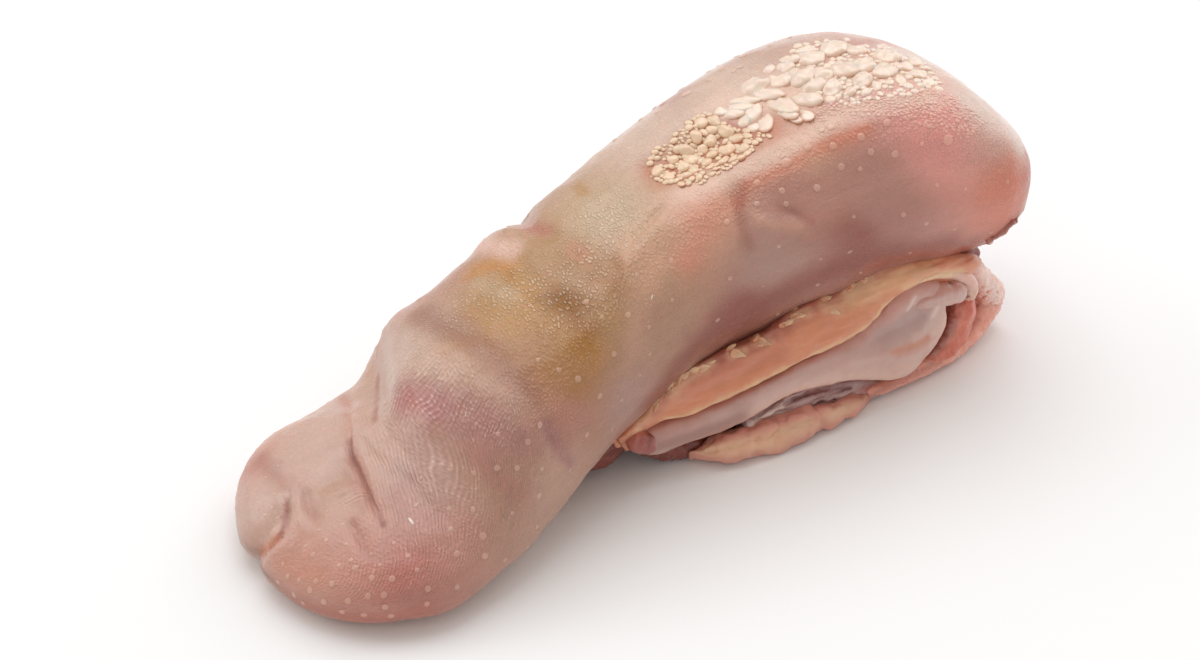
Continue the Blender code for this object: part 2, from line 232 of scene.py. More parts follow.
def operator(operation, swapped=False):  # shader maths between two flows, or a flow and a number
    def apply(flow, other):
        pair = (other, flow) if swapped else (flow, other)
        return flow.paint.node("ShaderNodeMath", {"operation": operation}, *pair)

    return apply


class Flow:  # a socket's value, so that shader maths reads as plain sums
    __add__ = __radd__ = operator("ADD")
    __mul__ = __rmul__ = operator("MULTIPLY")
    __sub__, __rsub__ = operator("SUBTRACT"), operator("SUBTRACT", swapped=True)

    def __init__(self, paint, socket):
        self.paint, self.socket = paint, socket


class Paint:  # a material that is put together from nodes
    def __init__(self, name, **constants):
        self.material = bpy.data.materials.new(name)
        self.material.use_nodes = True
        self.tree = self.material.node_tree
        self.shader = self.tree.nodes["Principled BSDF"]
        for socket, value in constants.items():
            self.shader.inputs[socket.replace("_", " ")].default_value = value

    def put(self, socket, value):
        if isinstance(value, Flow):
            self.tree.links.new(value.socket, socket)
        elif value is not None:
            socket.default_value = value

    def node(self, kind, settings, *values, out=0, **named):
        node = self.tree.nodes.new(kind)
        for key, value in settings.items():
            setattr(node, key, value)
        for socket, value in zip(node.inputs, values):
            self.put(socket, value)
        for key, value in named.items():
            self.put(node.inputs[key.replace("_", " ")], value)
        return Flow(self, node.outputs[out])

    def attribute(self, name, out="Fac"):
        return self.node("ShaderNodeAttribute", {"attribute_name": name}, out=out)

    def place(self):
        return self.node("ShaderNodeTexCoord", {}, out="Object")

    def stretched(self, vector, scale, turn=(0, 0, 0)):
        return self.node("ShaderNodeMapping", {}, vector, Scale=scale, Rotation=turn)

    def cloud(self, vector, scale, detail=2.0, roughness=0.5):
        return self.node("ShaderNodeTexNoise", {}, Vector=vector, Scale=scale, Detail=detail,
                         Roughness=roughness)

    def cells(self, vector, scale):
        return self.node("ShaderNodeTexVoronoi", {}, Vector=vector, Scale=scale, out="Distance")

    def spread(self, value, low, high, start=0.0, end=1.0):
        smooth = {"interpolation_type": "SMOOTHSTEP"}
        return self.node("ShaderNodeMapRange", smooth, value, low, high, start, end)

    def mix(self, factor, first, second):
        node = self.tree.nodes.new("ShaderNodeMix")
        node.data_type = "RGBA"
        self.put(node.inputs[0], factor)
        for socket, value in ((node.inputs[6], first), (node.inputs[7], second)):
            self.put(socket, value if isinstance(value, Flow) else (*value, 1))
        return Flow(self, node.outputs[2])

    def brighten(self, colour, amount):  # a colour times a number that varies
        return self.node("ShaderNodeVectorMath", {"operation": "SCALE"}, colour, Scale=amount)

    def layered(self, factor, first, second):  # first times factor plus second, in all three channels
        return self.node("ShaderNodeVectorMath", {"operation": "MULTIPLY_ADD"}, first, factor, second)

    def bump(self, height, distance):
        return self.node("ShaderNodeBump", {}, Strength=1.0, Distance=distance, Height=height)

    def wear(self, colour, roughness, normal):
        self.put(self.shader.inputs["Base Color"], colour)
        self.put(self.shader.inputs["Roughness"], roughness)
        self.put(self.shader.inputs["Normal"], normal)
        return self.material


# The palette, as it looks in the full light of this stage, 0 to 255
fullLight = np.array([1.13, 1.205, 1.285])


def tone(r, g, b):
    return np.array([((v / 255 + 0.055) / 1.055) ** 2.4 for v in (r, g, b)]) / fullLight


palette = {
    "shell": (236, 210, 195), "palePink": (240, 216, 206), "tipRose": (223, 190, 178),
    "softPink": (234, 185, 160), "dustyPink": (208, 169, 151), "rosyTan": (218, 165, 150),
    "rose": (210, 150, 136), "blush": (192, 130, 121), "humpMauve": (207, 170, 162),
    "lilacPink": (198, 158, 149), "mauve": (202, 150, 138), "wallMauve": (198, 148, 138),
    "waistMauve": (190, 148, 128), "waistRose": (194, 137, 120), "crimson": (184, 88, 96),
    "rosyPurple": (176, 120, 120), "magenta": (250, 172, 166), "warmRed": (238, 148, 126),
    "fleshRed": (200, 118, 106), "foldRed": (160, 90, 78), "darkRed": (136, 66, 56),
    "brick": (168, 98, 86), "cutRed": (170, 92, 84), "valleyBrown": (160, 104, 84),
    "beigePink": (222, 178, 148), "neckTan": (194, 152, 106), "sideBeige": (196, 153, 130),
    "sandBeige": (217, 190, 159), "peach": (218, 186, 170), "tan": (198, 152, 94),
    "deepTan": (182, 132, 80), "mustard": (158, 100, 10), "paleMustard": (198, 144, 68),
    "orangeStain": (214, 150, 72), "warmOrange": (218, 146, 114), "ivory": (251, 227, 198),
    "creamPink": (255, 238, 224), "creamFoot": (242, 196, 170), "crevice": (204, 122, 82),
    "dot": (232, 198, 182), "lobeGround": (248, 214, 196), "rimLightPale": (255, 242, 236),
    "knobLight": (248, 208, 194), "membraneOrange": (226, 150, 114),
    "membraneTop": (188, 104, 82), "membraneRim": (240, 204, 160), "flakePale": (240, 194, 158),
    "flapPink": (214, 180, 176), "flapRim": (232, 198, 186), "flapBlue": (190, 162, 162),
    "flapRose": (206, 152, 142), "fatTan": (232, 190, 162), "fatPink": (220, 156, 140),
    "muscleGrey": (192, 164, 166), "muscleRed": (166, 92, 84), "muscleDark": (128, 50, 34),
    # The white on this line is for painted glints
    "wetPink": (248, 168, 150), "glintWhite": (250, 232, 226), "black": (34, 26, 26),
    "bandRed": (232, 142, 112), "knobPink": (232, 184, 170), "beadPink": (244, 208, 198),
    "flapShade": (168, 126, 120), "rollSalmon": (250, 178, 160), "recessRed": (224, 122, 98),
}
tones = {name: tone(*shade) for name, shade in palette.items()}

# The blade of the tongue: sections from tip to root, with the folds and swellings pressed into its skin
blade = {
    "tip": -61.2, "root": 73.0, "tipRound": 22.0, "tipThin": 7.5, "tipSquare": 2.2, "rootRound": 13.0,
    "rootSquare": 2.4, "around": 240, "along": 410, "tipBias": 1.2, "endBias": 0.55, "crestShare": 0.64,
    # Height and size of the unevenness of its skin, and how softly it rests on the floor
    "lumps": ((0.16, 7.0), (0.07, 2.6)), "softness": 1.2,
    # The step up to the hump runs slantwise: its shift towards the root for each mm towards the far side
    "stepSlant": 0.75, "stepMiddle": 12.0, "stepLeast": -4.0, "stepSoft": 1.6, "stepFrom": (-46, -38),
    "stepTo": (-25, -13),
    # x, near edge, far edge, crest, underside, widest height, squareness
    "sections": [
        (-63, -21.0, 24.5, 9.5, -0.2, 4.5, 2.3), (-50, -21.5, 25.0, 13.0, -0.2, 5.0, 2.4),
        (-38, -21.5, 24.6, 15.2, -0.2, 6.0, 2.4), (-34.5, -21.0, 24.3, 15.8, 0.1, 7.0, 2.4),
        (-32.6, -20.8, 24.1, 17.4, 0.2, 7.8, 2.4), (-30.2, -20.5, 24.0, 22.2, 0.3, 8.8, 2.5),
        (-27.6, -20.0, 24.4, 25.2, 0.5, 10.0, 2.6), (-24, -19.0, 24.6, 28.0, 1.0, 11.5, 2.6),
        (-18, -17.5, 23.9, 31.0, 3.0, 14.0, 2.6), (-8, -15.0, 22.5, 35.5, 6.5, 18.0, 2.6),
        (4, -13.5, 22.5, 39.5, 9.0, 23.0, 2.6), (16, -13.5, 23.0, 43.5, 12.0, 27.0, 2.7),
        (28, -16.0, 23.5, 47.0, 15.0, 30.0, 2.8), (40, -19.0, 23.0, 50.0, 17.0, 32.0, 2.9),
        (52, -22.5, 20.8, 51.6, 19.0, 33.0, 2.8),
        (64, -25.0, 16.0, 47.6, 20.0, 33.0, 2.6), (74, -26.0, 11.4, 40.4, 21.0, 32.0, 2.4),
    ],
}

# The folds of each face. A path is in the photograph's pixels on a seen face, otherwise in mm. The depths
# are spread along it, and a negative one is a swelling. Then come the width and, where the fold isn't
# plain, its profile, the heights of its left and right lips and the lap of the left one over it, as shares
# of the depth.
folds = {
    "seenTop": {
        "tipFold": ([(346, 399), (350, 411), (351, 425), (350, 440), (353, 455), (360, 468), (367, 485),
            (373, 501), (379, 514), (384, 528)], (0, 0.3, 0.4, 0.7, 1.2, 1.5, 1.4, 1.1, 0.6, 0), 0.55,
            "sharp", 0.25, 0.05, 0.25),
        "tipFoldTop": ([(336, 396), (346, 402), (352, 411)], (0, 0.7, 0), 1.3),
        "tipRoll": ([(362, 398), (363, 430), (370, 462), (384, 498), (392, 520)], (0, -0.5, -0.5, -0.2, 0),
            2.0),
        "pucker": ([(318, 500), (332, 494), (348, 489), (358, 490)], (0, -0.35, -0.45, 0), 1.1),
        "stepLine": ([(379, 364), (378, 380), (377, 400), (376, 416), (372, 432)],
            (0.1, 0.25, 0.25, 0.1, 0), 1.0, "soft", 0.1, 0, 0),
        "cornerHollow": ([(256, 448), (264, 462), (275, 475), (287, 486)], (0, 0.4, 0.6, 0.3), 1.6),
        "cornerFold": ([(284, 479), (289, 491), (288, 505), (286, 518), (283, 529), (277, 538), (268, 546),
            (261, 553), (253, 563)], (0, 0.3, 0.5, 0.6, 0.8, 1.0, 1.0, 0.7, 0.3), 0.55, "sharp", 0.2, 0.05,
            0.3),
        "finger": ([(295, 484), (297, 500), (299, 520), (303, 542)], (0, -0.5, -0.4, 0), 1.0),
        "tipDent": ([(301, 487), (307, 496), (312, 507), (315, 520), (316, 530)], (0, 0.3, 0.45, 0.3, 0),
            1.0),
        "sideFold": ([(349, 517), (355, 528), (361, 539), (366, 550), (371, 562)], (0, 0.4, 0.6, 0.4, 0),
            0.85, "soft", 0, 0.1, 0),
        "waistValley": ([(412, 306), (432, 325), (454, 333), (474, 345), (494, 359), (510, 376), (522, 394),
            (536, 414)], (0, 0.5, 0.9, 1.0, 0.8, 0.6, 0.3, 0), 2.9),
        "lightRidge": ([(386, 334), (428, 350), (466, 370), (494, 392), (520, 418)],
            (0, -0.3, -0.35, -0.2, 0), 3.4),
        "crimsonHollow": ([(392, 396), (418, 402), (442, 412), (470, 426)], (0, 0.3, 0.3, 0), 2.4),
        "nearHump": ([(388, 432), (412, 450), (432, 478), (446, 515)], (0, -0.7, -0.8, 0), 3.0),
        "humpFurrow": ([(430, 430), (440, 444), (453, 458), (467, 473), (488, 492)], (0, 0.5, 0.7, 0.6, 0),
            1.5),
        "edgeFurrow": ([(478, 474), (500, 484), (522, 496)], (0, 0.6, 0), 1.6),
        "waistDent": ([(540, 421), (549, 433), (558, 446), (565, 456), (574, 470)], (0, 0.7, 0.9, 0.8, 0),
            1.2),
        "stainHollow": ([(552, 296), (570, 312), (584, 334)], (0, 0.4, 0), 3.0),
        "neckDent": ([(566, 256), (590, 268), (612, 286)], (0, 0.35, 0), 2.8),
        "neckCrease": ([(668, 203), (655, 215), (642, 230), (632, 242), (622, 258)], (0, 0.5, 0.5, 0.3, 0),
            0.7),
        "farNotch": ([(510, 208), (530, 226), (544, 232), (560, 238)], (1.1, 1.1, 0.6, 0), 1.5),
        "farKnob": ([(478, 232), (498, 238), (520, 250)], (-1.0, -0.9, 0), 2.4),
        "neckRidge": ([(672, 214), (646, 238), (628, 266), (620, 300), (614, 350)],
            (0, -0.7, -0.8, -0.5, 0), 2.2),
        "pebbleBed": ([(656, 172), (688, 156), (722, 144), (752, 134)], (0.5, 1.1, 1.1, 0.4), 3.6, "flat",
            0.15, 0.15, 0),
        "lobeSwell": ([(740, 100), (780, 88), (820, 74), (870, 68), (916, 70)], (0, -0.6, -0.7, -0.5, 0),
            3.4),
    },
    "top": {
        "stepBump": ([(-23, 27), (-24.4, 18), (-26, 9)], (-2.0, -2.0, -1.1, 0), 3.6),
        "wartBed": ([(10, 6), (26, 4.5), (41, 2.5), (64, -7)], (0, 0.7, 0.7, 0), 4.5),
        "shoulderRidge": ([(9, -5), (24.4, -7.2), (38, -10.2), (54, -14)], (0, -0.5, -0.5, 0), 3.2),
    },
    "seenNear": {
        "wallFold": ([(742, 180), (740, 195), (741, 212), (744, 230), (751, 248)], (0, 0.9, 1.0, 0.6, 0),
            1.2, "soft", 0.25, 0, 0),
        "wallRidge": ([(752, 206), (757, 220), (772, 226), (798, 226)], (0, -0.5, -0.4, 0), 1.2),
        "wallPinch": ([(776, 206), (792, 212), (810, 222)], (0, 0.5, 0), 0.9),
        "rearCut": ([(1026, 212), (1016, 226), (1004, 240), (986, 254)], (0, 1.0, 1.0, 0.4), 1.6),
    },
    "near": {
        "wallHollow": ([(22, 40), (39, 44), (50, 44), (62, 39)], (0, 1.3, 1.3, 0), 3.4),
        "wallSwell": ([(8, 32), (30, 35), (50, 35), (68, 33)], (0, -1.4, -1.4, 0), 5.0),
    },
    "front": {
        "tipNotch": ([(4.0, 15), (4.0, 9), (5.0, 4), (5.0, -6)], (0, 1.0, 1.0, 0), 1.8, "soft", 0.2, 0.1,
            0),
    },
}
faces = {"top": ((0, 1), (0, 0, 1)), "near": ((0, 2), (0, -1, 0)), "front": ((1, 2), (-1, 0, 0))}
faces |= {"seenTop": faces["top"], "seenNear": faces["near"]}
plainFold = ("soft", 0, 0, 0)
# How far from its path a fold is felt and where its lip and lap are, in widths, and how squarely the skin
# has to face it
foldShape = {
    "felt": 7, "facing": (0.05, 0.35), "lipAt": 2.6, "lipSpread": 1.8, "lapAt": 1.0, "leastGap": 0.05,
}


def bladePoint(x, turn):  # the bare skin at x, turned from the far side (0) over the crest (90 degrees)
    rows = alongTable(blade["sections"], x)
    near, far, top, low, wide, square = rows[:, 1:].T
    rootSize = endShrink(blade["root"] - x, blade["rootRound"], blade["rootSquare"])
    across = endShrink(x - blade["tip"], blade["tipRound"], blade["tipSquare"]) * rootSize
    high = endShrink(x - blade["tip"], blade["tipThin"]) * rootSize
    c, s = np.cos(turn), np.sin(turn)
    y = (near + far) / 2 + (far - near) / 2 * across * np.sign(c) * np.abs(c) ** (2 / square)
    slope, least, soft = blade["stepSlant"], blade["stepLeast"], blade["stepSoft"]
    shift = least + soft * np.logaddexp(0, (slope * (y - blade["stepMiddle"]) - least) / soft)
    shift *= np.interp(x, [*blade["stepFrom"], *blade["stepTo"]], [0, 1, 1, 0])
    top = alongTable(blade["sections"], x - shift)[:, 3]
    reach = np.where(s > 0, top - wide, wide - low)
    return np.stack([x, y, wide + reach * high * np.sign(s) * np.abs(s) ** (2 / square)], 1)


def pressFolds(points, normals, bareTree):  # each point moves along its normal, and a lip laps sideways
    moved = points.copy()
    felt, lipAt, lapAt = foldShape["felt"], foldShape["lipAt"], foldShape["lapAt"]
    turned, facingOver = foldShape["facing"]
    rows = [(face, *fold) for face, named in folds.items() for fold in named.values()]
    for face, path, depths, width, *shape in rows:
        profile, left, right, lap = shape or plainFold
        plane, outward = faces[face]
        if face.startswith("seen"):
            path = throughPixels(path, bareTree)[0][:, plane]
        curve = smoothCurve(path, 30)
        flat = points[:, plane]
        close = (flat > curve.min(0) - felt * width).all(1) & (flat < curve.max(0) + felt * width).all(1)
        facing = np.clip((normals[close] @ np.array(outward) - turned) / facingOver, 0, 1)
        distance, side, share, gaps = pathDistance(flat[close], curve)
        at = smoothCurve(list(enumerate(depths)), 40)
        depth = facing * np.interp(share * (len(depths) - 1), at[:, 0], at[:, 1])
        reach = distance / width
        valley = {"sharp": np.exp(-reach) * np.sqrt(1 + reach), "soft": np.exp(-(reach**2)),
                  "flat": np.exp(-(reach**5))}[profile]
        lip = np.exp(-((reach - lipAt) ** 2) / foldShape["lipSpread"]) * np.where(side > 0, left, right)
        moved[close] += normals[close] * (depth * (lip - valley))[:, None]
        push = depth * lap * np.exp(-((reach - lapAt) ** 2)) * (side > 0)
        for k, axis in enumerate(plane):
            moved[close, axis] -= push * gaps[:, k] / np.maximum(distance, foldShape["leastGap"])
    return moved


def restOnFloor(points, softness):  # soft meat flattens where it meets the floor
    floor = -home[2]
    z = points[:, 2] - floor
    pressed = softness * np.exp(np.minimum(z, softness) / softness - 1)
    points[:, 2] = floor + np.where(z < softness, pressed, z)
    return points


def skinOf(points, normals, bareTree):  # folds, then the small unevenness of real skin
    moved = pressFolds(points, normals, bareTree)
    for seed, (height, size) in enumerate(blade["lumps"], 1):
        moved += normals * (height * lumps(points, size, seed))[:, None]
    return moved


def bladeRings(share, turn):
    t = 2 * share ** blade["tipBias"] - 1
    middle, half = (blade["tip"] + blade["root"]) / 2, (blade["root"] - blade["tip"]) / 2
    x = middle + half * (blade["endBias"] * np.sin(t * math.pi / 2) + (1 - blade["endBias"]) * t)
    part, crest = turn / (2 * math.pi), blade["crestShare"]
    angle = np.where(part < crest, math.pi * part / crest, math.pi * (1 + (part - crest) / (1 - crest)))
    return bladePoint(x, angle)


def makeSkin():
    skin = roundForm("tongue_skin", blade["around"], blade["along"], bladeRings)
    bare = pointsOf(skin)
    movePoints(skin, restOnFloor(skinOf(bare, normalsOf(skin), treeOf(skin)), blade["softness"]))
    return skin, bare


skin, bareSkin = makeSkin()
skinPoints, skinNormals = pointsOf(skin), normalsOf(skin)
skinTree = treeOf(skin)
print("tongue: blade", len(skin.data.vertices), "points")


def onSkin(pixels):
    return throughPixels(pixels, skinTree)


# The skin's colours are painted on its points. Grounds are broad tones at spots of the skin, with how far
# each one reaches, and are blended between them. Accents are strokes of a tone along a path, some of them
# painted shade in folds and hollows and painted highlight on ridges and the crest.
grounds = {
    "tipCorner": ((262, 500), "tipRose", 1.0), "tipTop": ((310, 450), "tipRose", 1.2),
    "tipMid": ((330, 492), "dustyPink", 0.8), "tipFront": ((300, 570), "rosyTan", 1.0),
    "nearLow": ((370, 600), "rose", 1.0), "pinkLow": ((405, 580), "blush", 0.9),
    "humpLight": ((430, 470), "humpMauve", 0.9), "stepBump": ((405, 345), "peach", 1.0),
    "humpRight": ((500, 450), "waistMauve", 1.1), "neckTop": ((560, 250), "neckTan", 1.0),
    "stainFar": ((510, 305), "tan", 1.0), "stainNear": ((556, 352), "deepTan", 1.0),
    "beigeNeck": ((600, 215), "sandBeige", 1.1), "waistSide": ((570, 420), "waistRose", 1.0),
    "waistTan": ((575, 385), "deepTan", 0.8), "sideTan": ((610, 320), "neckTan", 0.8),
    "nearEdge": ((560, 470), "dustyPink", 0.9), "sideLilac": ((650, 330), "sideBeige", 1.1),
    "sideLow": ((630, 400), "lilacPink", 0.9), "neckRidge": ((640, 262), "beigePink", 0.9),
    "shoulder": ((700, 215), "softPink", 0.9), "crestFar": ((640, 130), "shell", 1.1),
    "crestFarRear": ((720, 85), "shell", 1.1), "shoulderRed": ((800, 150), "softPink", 0.8),
    "wallTop": ((800, 200), "mauve", 1.0), "wallMid": ((880, 200), "wallMauve", 1.1),
    "wallLilac": ((770, 260), "lilacPink", 0.9), "rearMagenta": ((940, 130), "magenta", 1.1),
    # wallFoot and wallLow: the red of the blade's underside, darkened with painted shade under its overhang
    "rearRed": ((1012, 190), "warmRed", 0.9), "wallFoot": ((860, 240), "brick", 0.9),
    # The rear's pale ground is painted rim light along the rear edge
    "wallLow": ((740, 310), "brick", 0.8), "rearRimLit": ((980, 105), "palePink", 1.0),
}
# The grounds that are also laid on the far side
bothSides = (
    "nearLow", "waistSide", "nearEdge", "sideLilac", "sideLow", "wallTop", "wallMid", "wallLilac",
    "rearRed",
)
# The grounds where the photograph doesn't look, at spots of the tongue's own layout
hiddenGrounds = {
    "tipUnder": ((-48, 0, 0), "softPink", 1.0), "waistUnder": ((-20, 2, 3), "softPink", 1.0),
    "neckUnder": ((20, 3, 12), "mauve", 1.0), "tipUnderFar": ((-40, 18, 1), "palePink", 1.0),
    "cutEnd": ((73, -6, 32), "cutRed", 1.0), "farRear": ((66, 14, 38), "rose", 1.0),
    "farFoot": ((52, 14, 21), "mauve", 0.9), "farLow": ((24, 19, 14), "mauve", 0.9),
    "farTip": ((-50, 22, 6), "softPink", 0.8), "farWaist": ((-18, 23, 18), "softPink", 0.9),
}
accents = {
    # name: path in pixels, width in mm, tone, strength
    "crimsonEdge": ([(396, 390), (430, 386), (470, 398), (505, 412)], 2.4, "rosyPurple", 0.4),
    "crimsonPatch": ([(402, 404), (414, 400), (426, 403), (436, 410)], 2.5, "crimson", 0.6),
    "crimsonTrail": ([(440, 412), (480, 430), (520, 440)], 3.6, "rosyPurple", 0.6),
    "furrowShade": ([(434, 432), (446, 449), (462, 468), (480, 486)], 1.5, "waistMauve", 0.5),
    "lowerBlush": ([(480, 460), (504, 482), (522, 494)], 2.4, "blush", 0.45),
    "dentMauve": ([(544, 426), (556, 444), (570, 464)], 1.3, "rosyPurple", 0.7),
    "valleyShade": ([(420, 316), (442, 328), (466, 339), (492, 358), (512, 380), (526, 398)], 2.6,
        "valleyBrown", 0.6),
    "humpCream": ([(394, 344), (424, 356), (456, 372)], 2.3, "peach", 0.5),
    "humpCreamEnd": ([(460, 372), (492, 390), (522, 412)], 2.4, "peach", 0.3),
    "mustardFar": ([(476, 271), (492, 265), (508, 267)], 1.9, "orangeStain", 0.8),
    "mustardBand": ([(512, 275), (522, 286), (532, 297)], 1.6, "paleMustard", 0.85),
    "mustardPale": ([(476, 284), (494, 288), (510, 296)], 1.8, "sandBeige", 0.5),
    "neckBrown": ([(570, 262), (590, 268), (608, 284)], 2.6, "deepTan", 0.75),
    "mustardNear": ([(556, 297), (565, 302), (573, 312), (580, 326), (584, 342)], 2.3, "mustard", 0.92),
    "mustardTrace": ([(520, 318), (545, 322), (570, 340), (594, 354)], 2.8, "paleMustard", 0.5),
    "oliveEdge": ([(614, 260), (621, 270), (616, 284)], 1.1, "mustard", 0.4),
    "crestStain": ([(578, 186), (583, 193)], 1.1, "paleMustard", 0.6),
    "orangeTrace": ([(574, 250), (584, 254)], 1.6, "warmOrange", 0.5),
    "farNotchRed": ([(520, 224), (532, 228), (545, 231)], 1.7, "fleshRed", 0.6),
    "knobBlush": ([(482, 244), (496, 245), (512, 250)], 2.0, "knobLight", 0.85),
    # Painted shade in the deep of the tip's fold, dark red over the red flesh
    "tipFoldRedShade": ([(351, 440), (353, 455), (360, 468), (367, 485), (373, 501), (379, 514), (383, 525)],
        0.5, "darkRed", 0.9),
    "tipFoldShade": ([(348, 462), (357, 486), (367, 508)], 1.5, "brick", 0.3),
    "tipFoldWarm": ([(350, 412), (351, 440), (366, 482), (381, 518)], 1.2, "rosyTan", 0.5),
    # Painted shade along the step's crease
    "stepLine": ([(378, 376), (377, 400), (375, 420)], 0.6, "brick", 0.6),
    "foldTopRed": ([(342, 397), (348, 404), (350, 414)], 1.2, "rosyTan", 0.7),
    "cornerShade": ([(261, 458), (272, 472), (285, 485)], 1.7, "brick", 0.35),
    # Painted shade in the corner fold's crease
    "cornerLineShade": ([(288, 500), (286, 518), (283, 529), (278, 537)], 0.5, "brick", 0.7),
    "cornerOrange": ([(278, 539), (269, 546), (262, 553)], 0.8, "warmOrange", 0.8),
    "dentShade": ([(303, 490), (309, 502), (314, 518)], 1.0, "blush", 0.4),
    "sideShade": ([(352, 522), (360, 538), (368, 556)], 0.8, "brick", 0.35),
    "lowPink": ([(385, 590), (402, 575), (412, 560)], 2.6, "fleshRed", 0.45),
    "frontPeach": ([(284, 566), (300, 570), (318, 576)], 2.2, "warmOrange", 0.3),
    "tipEdgeRed": ([(285, 598), (330, 614), (380, 620), (430, 608)], 1.5, "fleshRed", 0.55),
    "neckSheen": ([(652, 262), (642, 300), (632, 350)], 2.2, "softPink", 0.35),
    "sideRed": ([(712, 212), (700, 236), (688, 262)], 3.0, "warmRed", 0.45),
    "shoulderWarm": ([(738, 200), (746, 186), (764, 175), (786, 165), (808, 152), (840, 139), (866, 128)],
        1.5, "bandRed", 0.7),
    # A reddish line of painted shade along the wall fold
    "wallFoldRedShade": ([(742, 188), (740, 208), (743, 228), (749, 244)], 1.2, "brick", 0.4),
    "pinchShade": ([(778, 207), (794, 213), (812, 222)], 0.6, "brick", 0.4),
    # Painted highlight on the ridge beside the pinch
    "pinchRidgeHighlight": ([(756, 216), (775, 226), (800, 227)], 0.8, "softPink", 0.4),
    # The red under the blade's overhang, darkened as painted shade
    "wallFootRedShade": ([(655, 398), (700, 342), (760, 306), (847, 266), (920, 250), (985, 244)], 2.8,
        "foldRed", 0.8),
    "bedEdge": ([(684, 194), (742, 170), (792, 146), (842, 116), (890, 102), (930, 98)], 2.0, "lobeGround",
        0.75),
    "pebbleBed": ([(660, 172), (700, 156), (735, 140), (762, 128)], 3.2, "crevice", 0.9),
    "lobeBed": ([(735, 108), (790, 90), (840, 76), (880, 70), (930, 72)], 4.4, "lobeGround", 0.95),
    "lobeGaps": ([(800, 92), (850, 84), (900, 80)], 1.4, "creamFoot", 0.5),
    "fanShade": ([(727, 124), (738, 128), (750, 133)], 0.9, "fleshRed", 0.8),
    # Painted rim light along the rear top, and painted highlight along the far crest
    "rearTopRimLight": ([(890, 50), (930, 62), (968, 82), (998, 108), (1018, 142)], 3.2, "rimLightPale", 0.8),
    "farCrestHighlight": ([(640, 112), (690, 78), (740, 54), (800, 38), (860, 36)], 2.2, "rimLightPale", 0.45),
    "humpLow": ([(400, 500), (440, 524), (474, 532)], 3.0, "blush", 0.4),
    # The same band towards the root, orange, darkened as painted shade
    "wallFootOrangeShade": ([(870, 266), (925, 253), (982, 248)], 1.3, "membraneTop", 0.6),
    "rearRim": ([(1028, 160), (1026, 205), (1004, 234)], 2.2, "fleshRed", 0.6),
}
textures = {
    # name: path in pixels, width, and how strong upright ridges, long ridges and sandy grain are there
    "humpWaves": ([(400, 470), (430, 480), (470, 470), (500, 480)], 8.0, 1.0, 0.1, 0.25),
    "crimsonWaves": ([(395, 400), (430, 395), (470, 400), (500, 420)], 4.5, 0.25, 0.8, 0.5),
    "stepWaves": ([(410, 345), (450, 365), (490, 395)], 3.2, 0.1, 0.8, 0.6),
    "frontGrain": ([(370, 590), (430, 560), (500, 500), (550, 450)], 6.0, 0.7, 0.1, 0.35),
    "tipSmooth": ([(260, 500), (300, 450), (340, 470), (310, 540)], 6.0, 0.05, 0.0, 0.10),
    "foldPucker": ([(345, 500), (362, 492)], 1.6, 0.2, 0.7, 0.2),
    "neckSand": ([(470, 310), (520, 290), (570, 300), (600, 220)], 8.0, 0.0, 0.1, 1.0),
    "valleySand": ([(460, 345), (520, 400), (580, 420)], 5.0, 0.3, 0.2, 0.5),
    "sideSand": ([(600, 420), (640, 330), (700, 260)], 4.0, 0.0, 0.0, 0.40),
    "crestSand": ([(620, 150), (700, 90), (800, 45)], 6.0, 0.0, 0.0, 0.55),
    "rearGrains": ([(860, 105), (930, 120), (990, 160)], 6.0, 0.0, 0.0, 0.9),
    "wallSmooth": ([(760, 240), (860, 210), (960, 210)], 7.0, 0.0, 0.0, 0.10),
    "shoulderGrain": ([(690, 225), (760, 175), (850, 130)], 3.0, 0.0, 0.0, 0.7),
}


def farSide(spot):  # the same place on the other side of the blade
    row = alongTable(blade["sections"], spot[:1])[0]
    return np.array([spot[0], row[1] + row[2] - spot[1], spot[2]])


def strokeOn(pixels, tree):  # a smooth stroke through pixels, laid on a piece
    return throughPixels(smoothCurve(pixels, max(2, 3 * len(pixels))), tree)[0]


# How uneven the edge of a stroke is, the size of its lumps by the stroke's width, and how fast it fades
strokeEdge = {"uneven": 0.22, "lumpShare": 0.9, "lumpLeast": 0.6, "fade": 2.2, "far": 9.0}
groundBlend = {"near": 2.5, "fade": 4}  # mm around a spot where its ground is even, and how fast it fades
plainGrain = (0.1, 0.05, 0.3)  # upright ridges, long ridges and sand where no texture is laid


def nearness(points, stroke, width, seed):  # 1 on a stroke and 0 away from it, with an uneven edge
    edge = strokeEdge
    reach = np.full(len(points), edge["far"])
    close = (points > stroke.min(0) - 3 * width).all(1) & (points < stroke.max(0) + 3 * width).all(1)
    distance = pathDistance(points[close], stroke)[0]
    size = edge["lumpShare"] * width + edge["lumpLeast"]
    reach[close] = distance / width * (1 + edge["uneven"] * lumps(points[close], size, seed))
    return np.exp(-np.maximum(reach, 0) ** edge["fade"])


def groundTones(points):
    laid = []
    for name, (pixel, colour, reach) in grounds.items():
        spot = onSkin([pixel])[0][0]
        laid.append((spot, colour, reach))
        if name in bothSides:
            laid.append((farSide(spot), colour, reach))
    laid += hiddenGrounds.values()
    total, weights = np.zeros((len(points), 3)), np.zeros(len(points))
    for spot, colour, reach in laid:
        away = np.linalg.norm(points - spot, axis=1) + groundBlend["near"]
        weight = (reach / away) ** groundBlend["fade"]
        total += weight[:, None] * tones[colour]
        weights += weight
    return total / weights[:, None]


